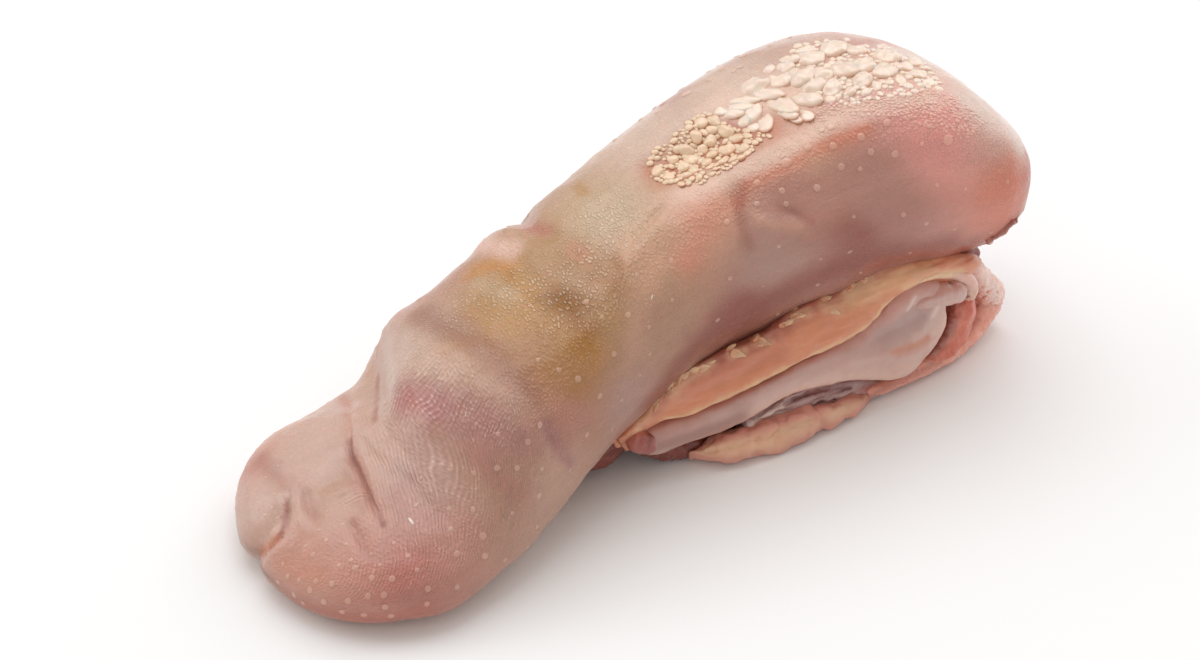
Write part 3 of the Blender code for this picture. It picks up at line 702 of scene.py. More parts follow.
def paintSkin(piece):
    points = pointsOf(piece)
    colour = groundTones(points)
    for seed, (path, width, name, strength) in enumerate(accents.values()):
        cover = (nearness(points, strokeOn(path, skinTree), width, seed) * strength)[:, None]
        colour = colour * (1 - cover) + tones[name] * cover
    setAttribute(piece, "tint", colour, "FLOAT_COLOR")
    grain = np.tile(plainGrain, (len(points), 1))
    for seed, (path, width, *strengths) in enumerate(textures.values()):
        cover = nearness(points, strokeOn(path, skinTree), width, 40 + seed)[:, None]
        grain = grain * (1 - cover) + np.array(strengths) * cover
    for name, values in zip(("upright", "long", "sand"), grain.T):
        setAttribute(piece, name, values)


def setSkinCoordinates(piece, points):  # mm along the tongue and round it, for patterns on the skin
    near, far, top, low, wide = alongTable(blade["sections"], points[:, 0])[:, 1:6].T
    halfWide, halfHigh = (far - near) / 2, (top - low) / 2
    turn = np.arctan2((points[:, 1] - (near + far) / 2) / halfWide, (points[:, 2] - wide) / halfHigh)
    girth = turn * (halfWide + halfHigh) / 2
    setAttribute(piece, "skinMm", np.stack([points[:, 0], girth, points[:, 2]], 1), "FLOAT_VECTOR")


paintSkin(skin)
setSkinCoordinates(skin, bareSkin)
print("tongue: skin painted")


skinFinish = {
    # The scales of the patterns and the turn of the ridges
    "warpScale": 0.22, "ridgeScale": 0.64, "longScale": 0.80, "uprightTurn": 0.644, "longTurn": -1.45,
    "distortion": 2.2, "waver": 1.2, "sandSize": 1.9, "sandStretch": (1.15, 0.85, 1), "fineScale": 2.4,
    "blotchScale": 0.30, "patchScale": 0.9, "streakStretch": (0.06, 0.7, 0.7),
    "breakStretch": (1.5, 0.45, 1), "breakFrom": (0.35, 0.65, 0.3, 1.0),
    "grainEdge": (0.15, 0.62, 1.0, 0.0), "longOverUpright": 0.8,
    # How deep each pattern is, in mm
    "ridgeDepth": 0.17, "sandDepth": 0.22, "fineDepth": 0.09, "streakDepth": 0.10,
    # How much each one lightens the tint, and the middle of each. On the ridges and grains this is painted
    # shade in the grooves and painted highlight on the tops
    "mottle": 0.14, "patchShade": 0.09, "streakShade": 0.14, "ridgeShade": 0.32, "ridgeMiddle": 0.21,
    "sandShade": 0.22, "sandMiddle": 0.26, "fineShade": 0.16,
    "bloodTone": tone(206, 120, 112), "bloodFrom": (0.52, 0.75), "bloodShare": 0.10,
    # Painted glints: a pale tone laid on the tops of the grains and ridges
    "paintedGlintTone": tone(244, 222, 200), "paintedGlintFrom": (0.5, 1.0), "paintedGlintShare": 0.42, "paintedGlintRidges": 0.8,
    # Wetness
    "roughness": 0.36, "roughFine": 0.25, "roughSand": 0.08, "coat": 0.28, "coatSand": 0.4,
    "coatRidges": 0.3, "coatRoughness": 0.16, "subsurface": 0.12, "subsurfaceDepth": 0.0012,
}


def skinMaterial():
    f = skinFinish
    paint = Paint("tongueSkin", Subsurface_Weight=f["subsurface"], Subsurface_Radius=bloodReach,
                  Subsurface_Scale=f["subsurfaceDepth"], Coat_Roughness=f["coatRoughness"])
    on = paint.attribute("skinMm", "Vector")
    warp = paint.node("ShaderNodeTexNoise", {}, Vector=on, Scale=f["warpScale"], Detail=1.0, out="Color")
    bent = paint.layered((1.0, 1.0, 0), warp, on)

    def ridges(turn, scale):  # wavy lines, broken up along their run
        turned = paint.stretched(bent, (1, 1, 0), (0, 0, turn))
        lines = paint.node("ShaderNodeTexWave", {"bands_direction": "X"}, Vector=turned, Scale=scale,
                           Distortion=f["distortion"], Detail=2.0, Detail_Scale=f["waver"], out="Fac")
        broken = paint.cloud(paint.stretched(turned, f["breakStretch"]), 1.0)
        return lines * paint.spread(broken, *f["breakFrom"])

    alongRidges = paint.attribute("long")
    uprightShare = paint.attribute("upright") * (1.0 - alongRidges * f["longOverUpright"])
    wavy = ridges(f["uprightTurn"], f["ridgeScale"]) * uprightShare
    wavy = wavy + ridges(f["longTurn"], f["longScale"]) * alongRidges
    grains = paint.cells(paint.stretched(bent, f["sandStretch"]), f["sandSize"])
    sandy = paint.spread(grains, *f["grainEdge"]) * paint.attribute("sand")
    fine = paint.cloud(on, f["fineScale"], 3.0, 0.65)
    blotches = paint.cloud(on, f["blotchScale"], 3.0, 0.6)
    patches = paint.cloud(on, f["patchScale"])
    streaks = paint.cloud(paint.stretched(on, f["streakStretch"]), 1.0, 3.0, 0.6)

    # Random mottle and patches, with painted shade in the grooves of the ridges and grains and painted
    # highlight on their tops
    shade = 1.0 + (blotches - 0.5) * f["mottle"] + (patches - 0.5) * f["patchShade"]
    shade = shade + (streaks - 0.5) * f["streakShade"] + (fine - 0.5) * f["fineShade"]
    shade = shade + (wavy - f["ridgeMiddle"]) * f["ridgeShade"] + (sandy - f["sandMiddle"]) * f["sandShade"]
    colour = paint.brighten(paint.attribute("tint", "Color"), shade)
    colour = paint.mix(paint.spread(blotches, *f["bloodFrom"]) * f["bloodShare"], colour, f["bloodTone"])
    # Painted glints: the pale tone on the tops of the grains and ridges
    flecks = paint.spread(sandy + wavy * f["paintedGlintRidges"], *f["paintedGlintFrom"]) * f["paintedGlintShare"]
    colour = paint.mix(flecks, colour, f["paintedGlintTone"])

    height = wavy * f["ridgeDepth"] + sandy * f["sandDepth"] + fine * f["fineDepth"]
    height = height + streaks * f["streakDepth"]
    coat = f["coat"] + sandy * f["coatSand"] + wavy * f["coatRidges"]
    paint.put(paint.shader.inputs["Coat Weight"], coat)
    roughness = f["roughness"] + (fine - 0.5) * f["roughFine"] - sandy * f["roughSand"]
    return paint.wear(colour, roughness, paint.bump(height, mm))


def finish(piece, material):  # a whole piece: its material, its place in the frame and its ride
    piece.data.materials.append(material)
    setHome(piece)
    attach(piece, "root")
    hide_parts("lamb_tongue")
    print("tongue:", piece.name, len(piece.data.polygons), "faces")


skinLook = skinMaterial()


# Small round things are modelled once, copied to their places and joined
def frameAt(normal, heading):  # axes of a spot on the skin: along the heading, across it, outwards
    out = normal / np.linalg.norm(normal)
    first = heading - out * (heading @ out)
    first /= np.linalg.norm(first)
    return np.array([first, np.cross(out, first), out])


def roundPattern(around, rings):
    alone()
    bpy.ops.mesh.primitive_uv_sphere_add(segments=around, ring_count=rings, radius=1)
    return bpy.context.object


def scattered(name, pattern, places):  # places: spot, axes and the three sizes of each copy
    corners = pointsOf(pattern)
    loops = [list(p.vertices) for p in pattern.data.polygons]
    points, faces = [], []
    for spot, axes, size in places:
        base = len(corners) * len(points)
        points.append(spot + (corners * size) @ axes)
        faces += [[base + v for v in loop] for loop in loops]
    mesh = bpy.data.meshes.new(name)
    mesh.from_pydata(np.concatenate(points).tolist(), [], faces)
    piece = bpy.data.objects.new(name, mesh)
    bpy.context.collection.objects.link(piece)
    faceOut(piece)
    return piece


def slantOf(angle, normal):  # a picture's direction on the surface: 1 long where that is seen square on
    a = math.radians(angle)
    flat = math.cos(a) * right - math.sin(a) * up
    slope = flat - back * (flat @ normal) / max(back @ normal, 0.25)
    return slope * min(1.0, 2.0 / np.linalg.norm(slope))


def laidOut(rows, tree, tall, tilt, sink):  # rows: pixel, length and width in pixels, downward angle
    places = []
    lean = math.radians(tilt)
    for px, py, length, width, angle in rows:
        spots, outward = throughPixels([(px, py)], tree)
        spot, normal = spots[0], outward[0]
        perPixel = (eye - spot) @ back / zoom / 2
        along, across = slantOf(angle, normal), slantOf(angle + 90, normal)
        sizes = length * perPixel * np.linalg.norm(along), width * perPixel * np.linalg.norm(across)
        height = tall * min(sizes)
        heading = along / np.linalg.norm(along)
        axes = frameAt(normal * math.cos(lean) - heading * math.sin(lean), heading)
        places.append((spot - normal * height * sink, axes, (*sizes, height)))
    return places


# Warty papillae on the crest: round pebbles in a sunken bed, then fans of folds, then large lobes that
# overlap. Each main one has its pixel, length, width and angle as photographed, and small ones fill the
# ground between them.
warts = {
    "pebbles": {
        "main": [(685, 150, 19, 12, 25), (703, 150, 11, 10, 0), (712, 155, 11, 8, 0), (727, 150, 17, 11, 5),
            (743, 149, 13, 9, 0), (736, 139, 14, 9, 5), (747, 136, 11, 6, 20), (710, 142, 14, 13, 0),
            (696, 137, 15, 12, 75), (691, 161, 16, 10, 15), (707, 163, 11, 8, 0), (683, 168, 13, 10, 0),
            (723, 162, 11, 7, -10), (725, 142, 7, 6, 0), (668, 177, 12, 8, 20), (694, 171, 10, 7, 0),
            (686, 176, 11, 7, 0), (657, 172, 12, 11, 0), (673, 160, 11, 10, 0), (714, 121, 15, 11, 40),
            (701, 123, 13, 11, 0), (689, 128, 8, 7, 0), (725, 132, 19, 12, 25), (712, 130, 12, 9, 10),
            (676, 150, 9, 8, 30), (733, 160, 8, 6, 0), (699, 178, 8, 7, 0)],
        "zone": [(648, 160), (660, 145), (676, 134), (690, 119), (708, 112), (726, 124), (770, 136),
            (754, 150), (730, 168), (700, 184), (672, 186), (652, 178)],
        "small": (3.5, 8.0), "tries": 900, "tall": 0.68, "tilt": 10, "sink": 0.15, "grow": 1.14, "seed": 11,
    },
    "lobes": {
        "main": [(740, 102, 40, 9, -3), (734, 109, 38, 10, 0), (728, 114, 30, 9, 5), (720, 111, 15, 9, 20),
            (750, 116, 28, 13, -38), (744, 121, 14, 11, -30), (752, 128, 14, 8, -10),
            (765, 122, 20, 13, 80), (752, 87, 34, 15, -15), (760, 94, 46, 12, 10), (777, 102, 44, 17, 38),
            (785, 110, 28, 14, 45), (792, 116, 20, 9, 45), (778, 80, 25, 15, 10), (769, 69, 11, 9, 0),
            (784, 67, 19, 11, 0), (788, 60, 22, 9, 0), (809, 58, 29, 16, 10), (806, 50, 20, 9, 0),
            (831, 48, 27, 17, 15), (800, 76, 27, 20, 0), (820, 74, 24, 13, 10), (812, 86, 28, 14, -25),
            (831, 88, 20, 17, -20), (806, 99, 30, 16, 15), (804, 114, 19, 11, 40), (844, 68, 27, 17, 25),
            (862, 65, 23, 16, 30), (860, 80, 23, 14, -5), (883, 70, 23, 18, 35), (885, 56, 29, 13, 15),
            (902, 66, 19, 12, 25), (917, 74, 17, 11, 25), (915, 62, 17, 10, 20), (876, 86, 11, 10, 0),
            (866, 92, 12, 7, -20), (849, 92, 13, 10, 0), (900, 79, 11, 10, 0), (855, 50, 22, 11, 10),
            (928, 82, 12, 8, 25), (829, 100, 12, 7, 0), (908, 86, 10, 7, 0), (889, 82, 9, 7, 30)],
        "zone": [(770, 70), (800, 42), (840, 38), (890, 46), (925, 64), (946, 88), (915, 94), (880, 100),
            (840, 106)],
        "small": (4.0, 8.0), "tries": 700, "tall": 0.50, "tilt": 12, "sink": 0.42, "grow": 1.2, "seed": 12,
    },
    "beads": {
        "main": [],
        "zone": [(812, 104), (850, 98), (885, 92), (925, 88), (960, 98), (985, 122), (970, 138), (930, 128),
            (890, 116), (850, 116), (816, 122)],
        "small": (2.4, 4.6), "tries": 1500, "tall": 0.55, "tilt": 0, "sink": 0.15, "grow": 1.0, "seed": 13,
    },
    "mainShape": (20, 12), "smallShape": (10, 6), "crowding": 0.80, "lump": 0.14, "lumpSize": 1.1,
    # The small ones: how much closer they lie up and down the picture, and their proportions and angles
    "squash": 1.25, "leastShare": 0.8, "longer": (1.0, 1.35), "narrower": 0.8, "angles": (-20, 50),
}


def setCrowns(piece, crown, creamy, draw):  # each copy's crown, how creamy it is and a shade of its own
    setAttribute(piece, "crown", np.tile(crown, len(creamy)))
    setAttribute(piece, "own", np.repeat([draw.random() for _ in creamy], len(crown)))
    setAttribute(piece, "creamy", np.repeat(creamy, len(crown)))


def inside(x, y, zone):  # whether a pixel lies in a many-sided zone
    hits = 0
    for (ax, ay), (bx, by) in zip(zone, zone[1:] + zone[:1]):
        hits += (ay > y) != (by > y) and x < ax + (y - ay) * (bx - ax) / (by - ay)
    return hits % 2 == 1


def mainOnes(zone):
    return zone["main"]


def filledIn(zone):  # small ones between the main ones, as large as the gaps allow
    draw = random.Random(zone["seed"])
    crowding = warts["crowding"]
    taken = [(x, y, math.sqrt(length * width) / 2) for x, y, length, width, _ in zone["main"]]
    xs, ys = zip(*zone["zone"])
    least, most = zone["small"]
    rows = []
    for _ in range(zone["tries"]):
        x, y = draw.uniform(min(xs), max(xs)), draw.uniform(min(ys), max(ys))
        size = draw.uniform(least, most)
        gaps = [math.hypot(x - tx, (y - ty) * warts["squash"]) - r * crowding for tx, ty, r in taken]
        gap = min(gaps, default=size)
        if inside(x, y, zone["zone"]) and gap * 2 > least * warts["leastShare"]:
            size = min(size, gap * 2 / crowding)
            taken.append((x, y, size / 2))
            length = size * draw.uniform(*warts["longer"])
            rows.append((x, y, length, size * warts["narrower"], draw.uniform(*warts["angles"])))
    return rows


def wartPiece(name, shape, rowsOf, kinds):
    pattern = roundPattern(*warts[shape])
    corners = pointsOf(pattern)
    places, creamy = [], []
    for kind in kinds:
        zone = warts[kind]
        grown = np.array(rowsOf(zone)) * [1, 1, zone["grow"], zone["grow"], 1]
        found = laidOut(grown, skinTree, zone["tall"], zone["tilt"], zone["sink"])
        places += found
        creamy += [float(kind == "lobes")] * len(found)
    piece = scattered(name, pattern, places)
    bpy.data.objects.remove(pattern)
    size = np.repeat([min(p[2][:2]) for p in places], len(corners))
    roughness = warts["lump"] * size * lumps(pointsOf(piece), warts["lumpSize"], 21)
    movePoints(piece, pointsOf(piece) + normalsOf(piece) * roughness[:, None])
    setCrowns(piece, np.clip(corners[:, 2] + 0.2 * corners[:, 0], 0, 1), creamy, random.Random(len(name)))
    return piece


# Round papillae: small pale domes over the skin, the seen ones at their pixels with a radius in mm. The
# ones of the shoulder stand taller, and have the like of them on the far side.
dots = {
    "tries": 9000, "seed": 5, "shape": (12, 6), "radius": (0.28, 0.48), "rise": 0.055, "shoulderRise": 0.15,
    # The space between unlisted ones by place
    "tipTo": -28, "tipGap": 2.4, "neckFrom": 12, "humpGap": 3.6, "wallFrom": 26, "wallGap": 5.4,
    "lowGap": 9.0, "gapSpread": (0.8, 1.3),
    # Where there are none of them: on skin that faces down, the floor, the crest or the camera
    "underTurn": -0.35, "floorGap": 0.8, "crestTurn": 0.8, "seenTurn": 0.3,
    "stretch": (0.95, 1.15), "heading": (1.0, 0.3, 0.2), "riseBase": 0.6, "fleckHeight": 0.5,
    "shoulder": [(786, 163, 0.85), (808, 148, 0.6), (833, 146, 0.68), (861, 137, 0.68), (841, 167, 0.62),
        (757, 183, 0.58), (782, 191, 0.6), (817, 188, 0.66), (871, 152, 0.62), (887, 123, 0.66),
        (910, 117, 0.5), (895, 154, 0.62), (860, 169, 0.45), (727, 222, 0.5), (757, 204, 0.5),
        (786, 204, 0.5), (922, 144, 0.4), (948, 140, 0.9), (831, 127, 0.66), (822, 130, 0.5)],
    "seen": [(294, 595, .5), (299, 580, .4), (310, 590, .5), (316, 581, .45), (324, 602, .55),
        (332, 584, .5), (342, 612, .5), (348, 601, .55), (355, 568, .5), (368, 596, .55), (372, 578, .5),
        (364, 615, .5), (384, 595, .55), (392, 579, .6), (385, 607, .55), (339, 565, .4), (313, 555, .45),
        (343, 524, .35), (327, 511, .3), (319, 530, .35), (346, 544, .35), (351, 560, .4), (371, 554, .3),
        (394, 543, .35), (380, 565, .35), (288, 576, .4), (283, 564, .35), (278, 582, .4), (269, 582, .3),
        (303, 603, .4), (326, 540, .35), (306, 546, .3), (408, 556, .45), (417, 570, .4), (428, 589, .5),
        (391, 616, .5), (427, 604, .45), (457, 587, .45), (485, 556, .55), (451, 529, .5), (497, 468, .5),
        (517, 468, .5), (528, 442, .5), (540, 425, .55), (600, 396, .5), (559, 370, .45), (578, 379, .55),
        (614, 354, .5), (483, 536, .6), (449, 509, .5), (473, 510, .5), (539, 496, .55), (416, 505, .45),
        (421, 478, .35), (498, 434, .4), (476, 424, .35), (542, 469, .4), (587, 435, .45), (474, 473, .45),
        (512, 513, .35), (537, 527, .4), (457, 554, .5), (586, 302, .5), (538, 360, .4), (628, 315, .5),
        (649, 327, .35), (671, 261, .4), (637, 275, .35), (602, 317, .35), (650, 354, .3), (560, 520, .4),
        (505, 560, .45), (278, 518, .3), (266, 477, .25), (256, 490, .25), (247, 497, .3), (257, 498, .25),
        (251, 508, .25), (258, 509, .25), (265, 515, .3), (272, 508, .25), (275, 494, .25), (278, 466, .25),
        (337, 419, .25), (293, 435, .3), (314, 427, .25), (304, 440, .25), (310, 452, .3), (322, 433, .25),
        (332, 442, .25), (308, 468, .25), (622, 400, .35), (612, 430, .35), (570, 470, .4), (640, 375, .3),
        (672, 300, .3)],
    "flecks": [(411, 521, 9, 3, 52), (652, 297, 6, 1.5, -75)],
}


def dotGap(spot, normal):  # the space between unlisted dots at a place, or None where there are none
    x, y, z = spot
    onNeck = x > dots["neckFrom"]
    barred = normal[2] > dots["crestTurn"] if onNeck else normal @ back > dots["seenTurn"]
    if barred or normal[2] < dots["underTurn"] or z < dots["floorGap"]:
        return None
    if onNeck:
        return dots["wallGap"] if z > dots["wallFrom"] else dots["lowGap"]
    return dots["tipGap"] if x < dots["tipTo"] else dots["humpGap"]


def makeDots():
    draw = random.Random(dots["seed"])
    spots, spread = [], dots["gapSpread"]
    for px, py, radius in dots["shoulder"] + dots["seen"]:
        found, normal = onSkin([(px, py)])
        raised = (px, py, radius) in dots["shoulder"]
        rise = dots["shoulderRise"] if raised else dots["rise"] * (dots["riseBase"] + radius)
        spots.append((found[0], normal[0], radius, rise))
        if raised:
            other, otherNormal = skinTree.find_nearest(Vector(farSide(found[0])))[:2]
            spots.append((np.array(other), np.array(otherNormal), radius, rise))
    for _ in range(dots["tries"]):
        i = draw.randrange(len(skinPoints))
        here = skinPoints[i]
        gap = dotGap(here, skinNormals[i])
        if gap and all(np.linalg.norm(here - spot) > gap * draw.uniform(*spread) for spot, *_ in spots):
            radius = draw.uniform(*dots["radius"])
            spots.append((here, skinNormals[i], radius, dots["rise"] * (dots["riseBase"] + radius)))
    pattern = roundPattern(*dots["shape"])
    corners = pointsOf(pattern)
    away = np.linalg.norm(corners[:, :2], axis=1)
    movePoints(pattern, np.column_stack([corners[:, :2], np.where(corners[:, 2] > 0, 1 - away**5, -0.5)]))
    heading = np.array(dots["heading"])
    places = [(spot, frameAt(normal, heading), (radius * draw.uniform(*dots["stretch"]), radius, rise))
              for spot, normal, radius, rise in spots]
    piece = scattered("round_papillae", pattern, places)
    crown = np.clip(1 - away**3, 0, 1) * (corners[:, 2] > 0)
    setCrowns(piece, crown, np.zeros(len(places)), draw)
    movePoints(pattern, corners)
    flecks = scattered("skin_flecks", pattern, laidOut(dots["flecks"], skinTree, dots["fleckHeight"], 0, 0))
    bpy.data.objects.remove(pattern)
    return piece, flecks


def paintLike(piece, source, sourcePoints):  # gives a piece the tint of the skin it sits on
    tree = KDTree(len(sourcePoints))
    for i, point in enumerate(sourcePoints):
        tree.insert(point, i)
    tree.balance()
    layer = np.empty(len(sourcePoints) * 4, np.float32)
    source.data.attributes["tint"].data.foreach_get("color", layer)
    colours = layer.reshape(-1, 4)[:, :3]
    setAttribute(piece, "tint", [colours[tree.find(point)[1]] for point in pointsOf(piece)], "FLOAT_COLOR")


papillaFinish = {
    "subsurface": 0.4, "reach": (1.0, 0.5, 0.25), "coatRoughness": 0.15, "shade": 0.95, "ownShade": 0.07,
    "speckScale": 1400.0, "speckShade": 0.12, "speckRoughness": 0.14, "roughness": 0.26,
    "grainScale": 2600.0, "grainDepth": 0.00005,
}
papillaLooks = {
    # The two tones of the crown and of the foot are for plain papillae and for creamy ones
    "papillaIvory": {
        "crown": ("ivory", "creamPink"), "crownFrom": (0.05, 0.75), "crownShare": 0.95,
        "foot": ("crevice", "creamFoot"), "footShare": 0.9, "coat": 0.9, "scatter": 0.0003,
    },
    "papillaWet": {
        "crown": ("beadPink", "beadPink"), "crownFrom": (0.0, 0.5), "crownShare": 0.4,
        "foot": ("softPink", "softPink"), "footShare": 0.1, "coat": 1.0, "scatter": 0.0001,
    },
    "papillaPale": {
        "crown": ("dot", "dot"), "crownFrom": (0.0, 0.5), "crownShare": 0.4,
        "foot": ("blush", "blush"), "footShare": 0.08, "coat": 0.5, "scatter": 0.0001,
    },
}


def papillaMaterial(name):
    f, look = papillaFinish, papillaLooks[name]
    paint = Paint(name, Subsurface_Weight=f["subsurface"], Subsurface_Radius=f["reach"],
                  Subsurface_Scale=look["scatter"], Coat_Weight=look["coat"],
                  Coat_Roughness=f["coatRoughness"])
    place, creamy = paint.place(), paint.attribute("creamy")
    specks = paint.cloud(place, f["speckScale"])
    foot, pale = (paint.mix(creamy, *[tones[tint] for tint in look[part]]) for part in ("foot", "crown"))
    foot = paint.mix(look["footShare"], paint.attribute("tint", "Color"), foot)
    cover = paint.spread(paint.attribute("crown"), *look["crownFrom"]) * look["crownShare"]
    shade = f["shade"] + paint.attribute("own") * f["ownShade"] + (specks - 0.5) * f["speckShade"]
    normal = paint.bump(paint.cloud(place, f["grainScale"]), f["grainDepth"])
    roughness = f["roughness"] + specks * f["speckRoughness"]
    return paint.wear(paint.brighten(paint.mix(cover, foot, pale), shade), roughness, normal)


papillaMaterials = {name: papillaMaterial(name) for name in papillaLooks}
for name, shape, rowsOf, kinds, look in (
        ("crest_papillae", "mainShape", mainOnes, ("pebbles", "lobes"), "papillaIvory"),
        ("crest_grains", "smallShape", filledIn, ("pebbles", "lobes"), "papillaIvory"),
        ("crest_beads", "smallShape", filledIn, ("beads",), "papillaWet")):
    papillae = wartPiece(name, shape, rowsOf, kinds)
    paintLike(papillae, skin, skinPoints)
    finish(papillae, papillaMaterials[look])
roundDots, whiteFlecks = makeDots()
paintLike(roundDots, skin, skinPoints)
finish(roundDots, papillaMaterials["papillaPale"])
finish(skin, skinLook)


# The trimmings under the root: bands of membrane, fat and muscle. Each band lies between a top edge and a
# low edge, given by the photograph's pixels and by how far out (y at x) each lies. The far side has them
# mirrored.
bands = {
    "strip": {
        "top": [(612, 444), (634, 420), (655, 394), (679, 371), (704, 360), (732, 347), (763, 332),
            (783, 314), (806, 301), (834, 291), (862, 272), (895, 257), (939, 257), (982, 257)],
        "topDepth": [(-6, -9.5), (4, -11.0), (14, -12.8), (26, -14.6), (38, -16.4), (48, -18.4), (62, -20)],
        "low": [(618, 449), (653, 426), (697, 411), (735, 394), (773, 375), (811, 356), (850, 337),
            (875, 319), (890, 301), (908, 288), (939, 275), (978, 274)],
        "lowDepth": [(-4, -11.5), (4, -13.8), (14, -15.9), (26, -18.3), (38, -19.8), (48, -21.6),
            (56, -22.4)],
        "out": 2.0, "inner": 5.0, "square": 0.75, "ends": (0.10, 0.05), "around": 120, "along": 420,
        "lump": 0.24, "lumpSize": 5.0, "ripple": 0.05, "fibre": 0.10,
        "dents": [([(700, 392), (740, 376), (780, 350)], 0.35, 1.0), ([(690, 376), (735, 358), (790, 326)],
            0.3, 0.8), ([(860, 300), (890, 284), (930, 270)], -0.4, 1.2)],
    },
    "flap": {
        "top": [(626, 442), (653, 424), (697, 407), (735, 390), (773, 371), (811, 352), (850, 333),
            (875, 315), (890, 297), (908, 284), (939, 272)],
        "topDepth": [(-5, -10), (4, -12.0), (14, -14.2), (26, -16.6), (38, -18.2), (46, -19.8), (56, -21)],
        "low": [(640, 452), (661, 449), (686, 441), (722, 429), (753, 413), (778, 400), (804, 390),
            (837, 381), (862, 379), (888, 379), (913, 370), (931, 347), (941, 326), (946, 305)],
        "lowDepth": [(-1, -10.5), (6, -13.2), (16, -16.6), (28, -19), (38, -20), (46, -21), (53, -20.6)],
        "out": 2.0, "inner": 3.2, "square": 0.85, "ends": (0.06, 0.06), "around": 120, "along": 360,
        "lump": 0.22, "lumpSize": 6.0, "ripple": 0.05, "fibre": 0.0,
        "dents": [([(880, 338), (900, 328), (922, 314)], 1.0, 2.2), ([(850, 362), (880, 356), (925, 347)],
            -0.7, 1.6), ([(893, 352), (912, 345), (926, 338)], 0.35, 0.5), ([(935, 300), (928, 318),
            (921, 330)], -0.5, 1.1), ([(690, 424), (740, 406), (790, 382)], -0.3, 1.3)],
    },
    "fat": {
        "top": [(686, 452), (700, 444), (722, 434), (748, 427), (773, 418), (799, 409), (837, 399),
            (866, 392)],
        "topDepth": [(0, -10.5), (7, -12.8), (14, -16.2), (24, -18.6), (34, -18.6), (44, -17)],
        "low": [(690, 458), (709, 461), (748, 460), (786, 449), (824, 429), (855, 413), (878, 398)],
        "lowDepth": [(0, -11), (7, -14.6), (14, -18.4), (24, -20.2), (34, -20.4), (42, -19.4)], "out": 1.8,
        "inner": 4.0, "square": 0.95, "ends": (0.16, 0.14), "around": 96, "along": 260, "lump": 0.40,
        "lumpSize": 3.2, "ripple": 0.17, "fibre": 0.0,
        "dents": [([(758, 442), (790, 432), (815, 420)], 0.5, 0.6), ([(812, 404), (822, 418), (824, 432)],
            0.35, 0.6), ([(708, 452), (736, 446), (760, 438)], 0.4, 0.5), ([(782, 420), (788, 436)], 0.3,
            0.5)],
    },
    "muscle": {
        "top": [(736, 424), (753, 411), (778, 398), (804, 386), (837, 377), (870, 375), (905, 372)],
        "topDepth": [(0, -10), (8, -12.0), (16, -14.8), (28, -17.0), (38, -18.0), (50, -18.4)],
        "low": [(740, 432), (756, 430), (777, 424), (803, 415), (841, 406), (870, 399), (905, 380)],
        "lowDepth": [(0, -10), (7, -12.4), (14, -15.4), (24, -17.8), (34, -18.2), (46, -18)], "out": 1.0,
        "inner": 3.0, "square": 0.95, "ends": (0.08, 0.08), "around": 96, "along": 320, "lump": 0.35,
        "lumpSize": 2.2, "ripple": 0.15, "fibre": 0.30,
        "dents": [([(790, 402), (820, 392), (850, 388)], 0.5, 0.45), ([(800, 410), (835, 402)], 0.4, 0.4),
            ([(752, 422), (770, 412), (782, 404)], -0.5, 0.5)],
    },
}
mirrorLine = [(-10, 4.5), (8, 4.6), (22, 5.0), (36, 3.8), (50, -1.0), (60, -5.5), (74, -9.0)]


def mirrored(points):  # the same points on the far side of the trimmings
    across = np.interp(points[:, 0], *np.array(mirrorLine).T)
    return np.column_stack([points[:, 0], across - points[:, 1], points[:, 2]])


def edgeOf(pixels, depth):  # a smooth edge in space through a band's pixels
    return smoothCurve(ontoCurtain(smoothCurve(pixels, 60), depth), 80)


def atShare(rows, share):  # each column of evenly spaced rows, at a share of the way along
    stations = np.linspace(0, 1, len(rows))
    return np.stack([np.interp(share, stations, column) for column in rows.T], 1)


def bandSections(band, far):
    top, low = edgeOf(band["top"], band["topDepth"]), edgeOf(band["low"], band["lowDepth"])
    if far:
        top, low = mirrored(top), mirrored(low)
    runs = np.gradient((top + low) / 2, axis=0)

    def place(share, turn):
        start = atShare(top, share)
        chord = atShare(low, share) - start
        outward = np.cross(atShare(runs, share), chord)
        outward *= ((1 if far else -1) * np.sign(outward[:, 1]) / np.linalg.norm(outward, axis=1))[:, None]
        first, last = band["ends"]
        size = endShrink(share, first) * endShrink(1 - share, last)
        c, s = np.cos(turn), np.sin(turn)
        down = (1 - np.sign(c) * np.abs(c) ** band["square"] * size) / 2
        reach = np.where(s > 0, band["out"], band["inner"]) * size * np.sign(s) * np.abs(s) ** 0.8
        return start + chord * down[:, None] + outward * reach[:, None]

    return place


def turnsOf(around, along):  # how far round the form each point of a round form lies
    ball = roundPattern(around, along)
    co = pointsOf(ball)
    bpy.data.objects.remove(ball)
    return np.arctan2(co[:, 1], co[:, 0]) % (2 * math.pi)


